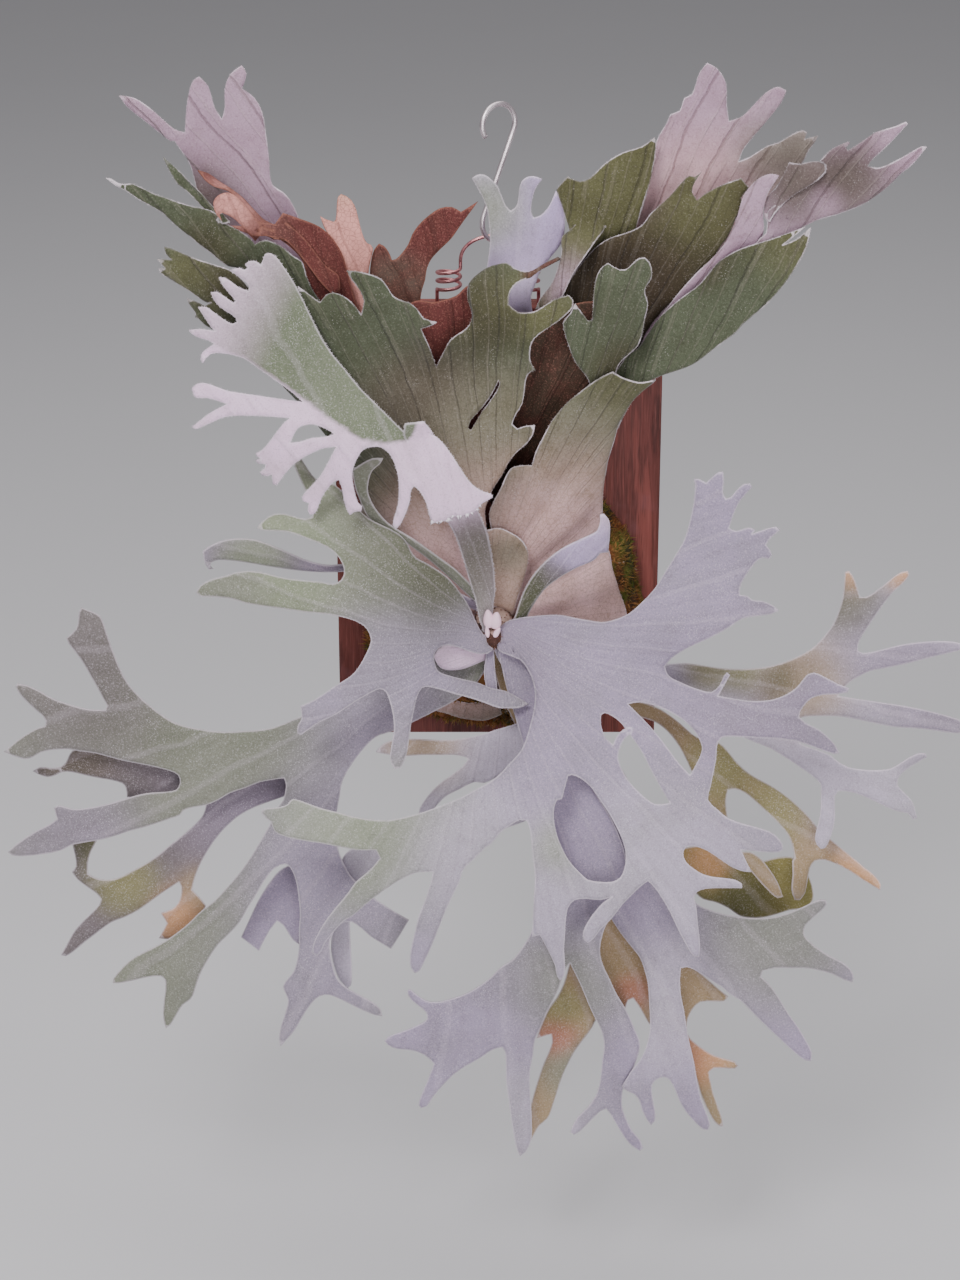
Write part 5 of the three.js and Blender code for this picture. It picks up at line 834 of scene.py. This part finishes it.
def add_board():
    """The planed board with eased edges."""
    bm = merged_solid("board")
    bmesh.ops.dissolve_limit(bm, angle_limit=FLAT_LIMIT, verts=bm.verts, edges=bm.edges)
    rims = [e for e in bm.edges if e.calc_length() > SHORTEST_RIM and e.calc_face_angle(0) > RIM_ANGLE]
    bmesh.ops.bevel(bm, geom=rims, offset=BOARD_EDGE, offset_type="OFFSET", segments=3, profile=0.5,
                    affect="EDGES", material=-1)
    return finished(bm, "board_planed", "board", "board", cedar_finish(), smooth=False)


def swept(name, points, radius, node, slot_name, material):
    """A round wire along a list of points, with domed ends."""
    curve = bpy.data.curves.new(name, "CURVE")
    curve.dimensions = "3D"
    curve.bevel_depth = radius
    curve.bevel_resolution = 4
    curve.use_fill_caps = True
    spline = curve.splines.new("POLY")
    spline.points.add(len(points) - 1)
    for point, place in zip(spline.points, points):
        point.co = (*place, 1)
    rod = bpy.data.objects.new(name + "_curve", curve)
    bpy.context.scene.collection.objects.link(rod)
    bpy.context.view_layer.update()
    mesh = bpy.data.meshes.new_from_object(rod)
    bpy.data.objects.remove(rod)
    bm = bmesh.new()
    bm.from_mesh(mesh)
    bmesh.ops.remove_doubles(bm, verts=bm.verts, dist=SAME_ROD_POINT)
    bmesh.ops.recalc_face_normals(bm, faces=bm.faces)
    return finished(bm, name, node, slot_name, material)


# The wire, in millimetres: its legs and curls, and the arch between them
WIRE_MIDDLE = -12.5
WIRE_RADIUS = 1.38
LEG_HEIGHTS = (160, 172, 180, 185)
LEG_LEFT, LEG_RIGHT, CURL_RADIUS = -47, 31, 9
CURL_START, CURL_PITCH, CURL_TURNS = 189, 6.5, 2.5
ARCH_FOOT, ARCH_RISE, ARCH_SQUARENESS = 209.25, 21.75, 0.8
CURL_STEPS, ARCH_STEPS = 72, 60


def wire_side(side):
    """One leg and its curl, from the board up, in millimetres."""
    leg = LEG_LEFT if side < 0 else LEG_RIGHT
    points = [Vector((leg, WIRE_MIDDLE, z)) for z in LEG_HEIGHTS]
    for i in range(CURL_STEPS + 1):
        turn = 2 * math.pi * CURL_TURNS * i / CURL_STEPS
        points.append(Vector((leg + side * (math.cos(turn) - 1) * CURL_RADIUS,
                              WIRE_MIDDLE - math.sin(turn) * CURL_RADIUS,
                              CURL_START + CURL_PITCH * CURL_TURNS * i / CURL_STEPS)))
    return points


def wire_arch():
    """The arch between the curls, from left to right, in millimetres."""
    arch = []
    for i in range(ARCH_STEPS + 1):
        turn = math.pi * (1 - i / ARCH_STEPS)
        foot = (-LEG_LEFT if i < ARCH_STEPS / 2 else LEG_RIGHT) - 2 * CURL_RADIUS
        arch.append(Vector((math.cos(turn) * foot, WIRE_MIDDLE,
                            ARCH_FOOT + ARCH_RISE * math.sin(turn) ** ARCH_SQUARENESS)))
    return arch


def add_wire():
    """The copper wire: two legs with curls and an arch between them."""
    copper = Finish("copper_wire", Metallic=0.9)
    dull = copper.grain(160, 4)
    scratch = copper.grain(60, 3, place=copper.place((1, 1, 0.15)))
    colour = copper.mix(dull.between(0.4, 0.7), shade(214, 150, 152), shade(160, 100, 106))
    colour = copper.mix(scratch.between(0.6, 0.8) * 0.5, colour, shade(240, 196, 190))
    copper.set(Base_Color=colour, Roughness=dull * 0.35 + 0.22, Normal=copper.height(dull, 0.2, 0.0003))
    points = wire_side(-1) + wire_arch()[1:-1] + wire_side(1)[::-1]
    return swept("hanger_wire_round", [p * MM for p in points], WIRE_RADIUS * MM, "hanger_wire",
                 "hanger_wire", copper.material)


# The hook, in millimetres: its bends' radius and their heights, and how far its plane is turned
HOOK_BEND, HOOK_LOWER, HOOK_UPPER, HOOK_RADIUS = 15, 241.8, 316.8, 2.08
HOOK_TURN = math.radians(35)
HOOK_TOP_END, HOOK_FOOT_END = 215, 385  # degrees round each bend
HOOK_STEPS = 40


def hook_route():
    """Two round bends in one upright plane, joined by a straight, in millimetres."""
    lean = math.degrees(math.asin(2 * HOOK_BEND / (HOOK_UPPER - HOOK_LOWER)))
    route = []
    for height, start, end in ((HOOK_UPPER, HOOK_TOP_END, -lean), (HOOK_LOWER, 180 - lean, HOOK_FOOT_END)):
        for i in range(HOOK_STEPS + 1):
            turn = math.radians(start + (end - start) * i / HOOK_STEPS)
            out = math.cos(turn) * HOOK_BEND
            route.append(Vector((out * math.cos(HOOK_TURN), out * math.sin(HOOK_TURN) + WIRE_MIDDLE,
                                 height + math.sin(turn) * HOOK_BEND)))
    return route


def add_hook():
    """The steel S-hook."""
    steel = Finish("zinc_steel", Metallic=1.0)
    cloud = steel.grain(90, 4)
    colour = steel.mix(cloud.between(0.4, 0.65), shade(236, 226, 230), shade(204, 192, 198))
    steel.set(Base_Color=colour, Roughness=cloud * 0.25 + 0.3, Normal=steel.height(cloud, 0.12, 0.0003))
    return swept("s_hook_round", [p * MM for p in hook_route()], HOOK_RADIUS * MM, "s_hook", "s_hook",
                 steel.material)


# --------------------------------
# Moss and bud
# --------------------------------

def scatter(faces, count, chance):
    """Places spread evenly over a set of faces."""
    faces = list(faces)
    areas = [f.calc_area() for f in faces]
    for face in chance.choices(faces, weights=areas, k=count):
        corners = [v.co for v in face.verts][:3]
        a, b = chance.random(), chance.random()
        if a + b > 1:
            a, b = 1 - a, 1 - b
        yield corners[0] + (corners[1] - corners[0]) * a + (corners[2] - corners[0]) * b, face.normal.copy()


# The moss, in millimetres: lumps, room kept to the fronds, and sprigs
MOSS_EDGE = 5
MOUND_FOOT = 2
LUMP_HEIGHT, LUMP_SINK = 2.8, 1.2
FROND_ROOM = 3.0
DOME_DENT, DOME_BARE = 5, 1.4
MOUND_MIDDLE, BARE_REACH = Vector((0.0035, -0.0627)), 0.06  # in metres; no sprigs behind the bud
SPRIG_COUNT = 7500
SPRIG_LENGTH, SPRIG_WIDTH = (3.5, 9.0), (0.7, 1.6)
SPRIG_ROOM, SPRIG_INSET, BOARD_ROOM = 2, 0.8, 0.3
DISTANCE = 3  # the search tree gives place, normal, index, distance
NEAR_MOSS = ("shield_front", "shield_right", "shield_young", "antler_bottom_back", "antler_inner_left")


def fronds_near_moss():
    """A search tree of the fronds that the moss must not come through."""
    fronds = bmesh.new()
    for node in NEAR_MOSS:
        fronds.from_mesh(frame["nodes"][node].data)
    tree = BVHTree.FromBMesh(fronds)
    fronds.free()
    return tree


def moss_finish():
    """Brown bark and green moss, with paler and darker tones painted on the points."""
    moss = Finish("moss_and_bark", Roughness=1.0)
    tone = moss.painted("tone")
    coarse = moss.grain(38, 5, 0.65)
    fine = moss.grain(420, 4)
    colour = moss.mix(coarse.between(0.40, 0.62), shade(128, 74, 40), shade(88, 98, 36))
    colour = moss.mix(tone.between(0.35, 0.75) * 0.75, colour, shade(176, 126, 72))
    colour = moss.mix(tone.between(0.80, 0.92), colour, shade(232, 216, 206))
    colour = moss.mix(tone.between(0.22, 0.05) * 0.8, colour, shade(44, 34, 20))
    colour = moss.mix(fine.between(0.55, 0.75) * 0.4, colour, shade(170, 146, 96))
    moss.set(Base_Color=colour, Normal=moss.height(fine, 0.8, 0.001, moss.height(coarse, 0.5, 0.004)))
    return moss.material


def raise_lumps(bm, cover):
    """Lumps all over the mound, kept clear of the fronds on it."""
    tones = bm.verts.layers.float.new("tone")
    for vert in bm.verts:
        vert[tones] = 0.15 + 0.4 * noise.noise(vert.co * TONE_GRAIN)
        if vert.co.y < BOARD_FRONT - MOUND_FOOT * MM:
            lump = noise.fractal(vert.co * LUMP_GRAIN, 0.9, 2.1, 4)
            room = cover.find_nearest(vert.co)[DISTANCE] / MM - FROND_ROOM
            vert.co += vert.normal * min(lump * LUMP_HEIGHT - LUMP_SINK, room) * MM
        for spot, reach in DOME_TOUCHES:
            vert.co -= vert.normal * DOME_DENT * MM * math.exp(-((vert.co - spot).length / reach) ** 2)
    bm.normal_update()


def moss_sprigs(faces, cover):
    """The shapes of the sprigs that stand clear of the fronds, one after another."""
    chance = random.Random(3)
    for place, normal in scatter(faces, SPRIG_COUNT, chance):
        if any((place - spot).length < reach * DOME_BARE for spot, reach in DOME_TOUCHES):
            continue
        lean = Vector((chance.uniform(-1, 1), chance.uniform(-1, 1), chance.uniform(-0.6, 1.1)))
        way = (normal * 0.9 + lean * 0.8).normalized()
        if way.y > 0.25:  # into the board
            way.y = 0.1
            way.normalize()
        long = chance.uniform(*SPRIG_LENGTH) * MM
        wide = chance.uniform(*SPRIG_WIDTH) * MM
        free_ahead = cover.ray_cast(place, way, long + SPRIG_ROOM * MM)[0] is None
        if free_ahead and cover.find_nearest(place)[DISTANCE] > SPRIG_ROOM * MM:
            yield pointed_shape(place - normal * SPRIG_INSET * MM, way, long, wide, SPRIG_SHAPE)


def add_moss():
    """The root ball with its lumps of moss and a few thousand sprigs."""
    bm = merged_solid("moss_mound")
    bm.normal_update()
    bmesh.ops.triangulate(bm, faces=bm.faces)
    split_long(bm, MOSS_EDGE * MM, 3)
    calm(bm, [v for v in bm.verts if v.co.y < BOARD_FRONT - 2 * MOUND_FOOT * MM])
    bm.normal_update()
    cover = fronds_near_moss()
    raise_lumps(bm, cover)
    open_faces = [f for f in bm.faces
                  if f.normal.y < 0.3 and f.calc_center_median().y < BOARD_FRONT - MOUND_FOOT * MM
                  and (f.calc_center_median().xz - MOUND_MIDDLE).length > BARE_REACH]
    tufts = gather(moss_sprigs(open_faces, cover), "moss_batch")
    tuft_tones = tufts.verts.layers.float.new("tone")
    for vert in tufts.verts:
        vert[tuft_tones] = min(1.0, max(0.0, 0.5 + noise.noise(vert.co * SPRIG_TONE_GRAIN) * 0.7))
        vert.co.y = min(vert.co.y, BOARD_FRONT - BOARD_ROOM * MM)
    join_in(bm, tufts, "tufts")
    return finished(bm, "moss_root_ball", "moss_mound", "moss", moss_finish())


# The bud: where its stem runs, its scale hairs, and its pale young tips as
# (x, y, z of the middle, length, width in mm, lean)
BUD_AXIS = Vector((-3 * MM, 0, -52 * MM))
BUD_TIP_Y = -141 * MM
BUD_EDGE, BUD_LUMP = 3, 0.7
BARE_STEM_Z = -47
SCALE_COUNT = 260
GOLDEN_TURN = math.pi * (3 - math.sqrt(5))
SCALE_LENGTH, SCALE_WIDTH = (4, 7.5), (0.8, 1.4)
YOUNG_TIPS = ((-7.5, -137, -34, 15, 8.0, 0.10), (-2.0, -138, -35, 14, 8.4, -0.12),
              (-1.0, -140, -44, 9, 4.2, -0.5), (-8.5, -138, -44, 10, 3.4, 0.1))
# Tones of the bud's parts
BARE_TONE, SCALE_TONE, YOUNG_TONE = -1.0, 0.1, 2.0
TIP_TAPER, TIP_DEPTH, TIP_BEND = 0.35, 2.4, 1.2


def bud_finish():
    """Dark scales, beige stem and pale tips, by the tone painted on the points."""
    scales = Finish("bud_scales", Roughness=0.75)
    tone = scales.painted("tone")
    fine = scales.grain(500, 3)
    colour = scales.mix(tone, shade(58, 32, 26), shade(150, 104, 84))
    colour = scales.mix(fine.between(0.5, 0.7) * 0.4, colour, shade(104, 62, 50))
    colour = scales.mix(tone.between(1.2, 1.8), colour, shade(244, 208, 224))
    colour = scales.mix(tone.between(-0.4, -0.9), colour, BEIGE)
    scales.set(Base_Color=colour, Normal=scales.height(fine, 0.5, 0.0006))
    return scales.material


def bud_scales():
    """The shapes of the scale hairs in a spiral round the bud, one after another."""
    chance = random.Random(11)
    for i in range(SCALE_COUNT):
        along = i / SCALE_COUNT
        y = BUD_TIP_Y + (3 + 42 * along) * MM
        # narrow at its tip, wider behind it and wider again further back
        radius = (3.0 + 5.0 * min(along * 5, 1) + 7.0 * min(max(along - 0.3, 0) * 2, 1)) * MM
        out = Vector((math.cos(i * GOLDEN_TURN), 0, math.sin(i * GOLDEN_TURN)))
        place = Vector((BUD_AXIS.x, y, BUD_AXIS.z)) + out * radius
        way = (Vector((0, -1, 0)) * 1.3 + out * chance.uniform(0.25, 0.7)
               + Vector((chance.uniform(-.2, .2), 0, chance.uniform(-.2, .2)))).normalized()
        long = chance.uniform(*SCALE_LENGTH) * MM
        wide = chance.uniform(*SCALE_WIDTH) * MM
        yield pointed_shape(place, way, long, wide, SCALE_SHAPE)


def young_tips():
    """The pale tips of fronds that are just growing."""
    young = bmesh.new()
    tones = young.verts.layers.float.new("tone")
    for x, y, z, long, wide, lean in YOUNG_TIPS:
        sine, cosine = math.sin(lean), math.cos(lean)
        for vert in bmesh.ops.create_icosphere(young, subdivisions=3, radius=1.0)["verts"]:
            bend = vert.co.z
            vert.co = Vector((vert.co.x * wide / 2 * (1 - TIP_TAPER * bend),
                              vert.co.y * wide / TIP_DEPTH - bend * bend * TIP_BEND,
                              vert.co.z * long / 2)) * MM
            vert.co = Vector((vert.co.x * cosine - vert.co.z * sine, vert.co.y,
                              vert.co.x * sine + vert.co.z * cosine)) + Vector((x, y, z)) * MM
            vert[tones] = YOUNG_TONE
    return young


def add_bud():
    """The scaly growing point with its pale young tips."""
    bm = merged_solid("rhizome")
    bm.normal_update()
    bmesh.ops.triangulate(bm, faces=bm.faces)
    split_long(bm, BUD_EDGE * MM, 2)
    for _ in range(3):
        calm(bm, bm.verts)
    bm.normal_update()
    tones = bm.verts.layers.float.new("tone")
    for vert in bm.verts:
        vert[tones] = BARE_TONE if vert.co.z > BARE_STEM_Z * MM else SCALE_TONE
        vert.co += vert.normal * noise.noise(vert.co * BUD_GRAIN) * BUD_LUMP * MM
    hairs = gather(bud_scales(), "scale_batch")
    hair_tones = hairs.verts.layers.float.new("tone")
    for vert in hairs.verts:
        vert[hair_tones] = min(1.0, max(0.0, 0.35 + noise.noise(vert.co * SCALE_TONE_GRAIN) * 0.8))
    for extra in (hairs, young_tips()):
        join_in(bm, extra, "bud_batch")
    return finished(bm, "bud_with_scales", "rhizome", "rhizome", bud_finish())


# --------------------------------
# Everything in its place
# --------------------------------

def add_floor():
    """A plain pale floor."""
    paint = Finish("pale_floor", Roughness=0.9)
    paint.set(Base_Color=paint.mix(paint.grain(3, 3) * 0.25, shade(208, 208, 211), shade(199, 199, 202)))
    bm = bmesh.new()
    bmesh.ops.create_grid(bm, x_segments=1, y_segments=1, size=FLOOR_REACH)
    bmesh.ops.translate(bm, verts=bm.verts, vec=(0, 0, FLOOR_HEIGHT))
    mesh = bpy.data.meshes.new("floor")
    bm.to_mesh(mesh)
    bm.free()
    mesh.materials.append(paint.material)
    floor = bpy.data.objects.new("floor", mesh)
    bpy.context.scene.collection.objects.link(floor)


add_studio()
add_floor()
add_board()
add_wire()
add_hook()
add_moss()
add_bud()

leaf_finishes = {
    "antler": felt_finish(),
    "shield": shield_finish("shield_skin", 0.45, shade(190, 184, 158)),
    "shield_pale": shield_finish("shield_pale_skin", 0.25, shade(222, 210, 214)),
    "dead_brown": dead_finish("dead_rust_leaf", 0.6),
    "dead_salmon": dead_finish("dead_salmon_leaf", 0.15),
}
for leaf in [n for n in frame["nodes"] if n.split("_")[0] in ("antler", "shield", "dead")]:
    add_leaf(leaf, leaf_finishes[slot_of(leaf)])
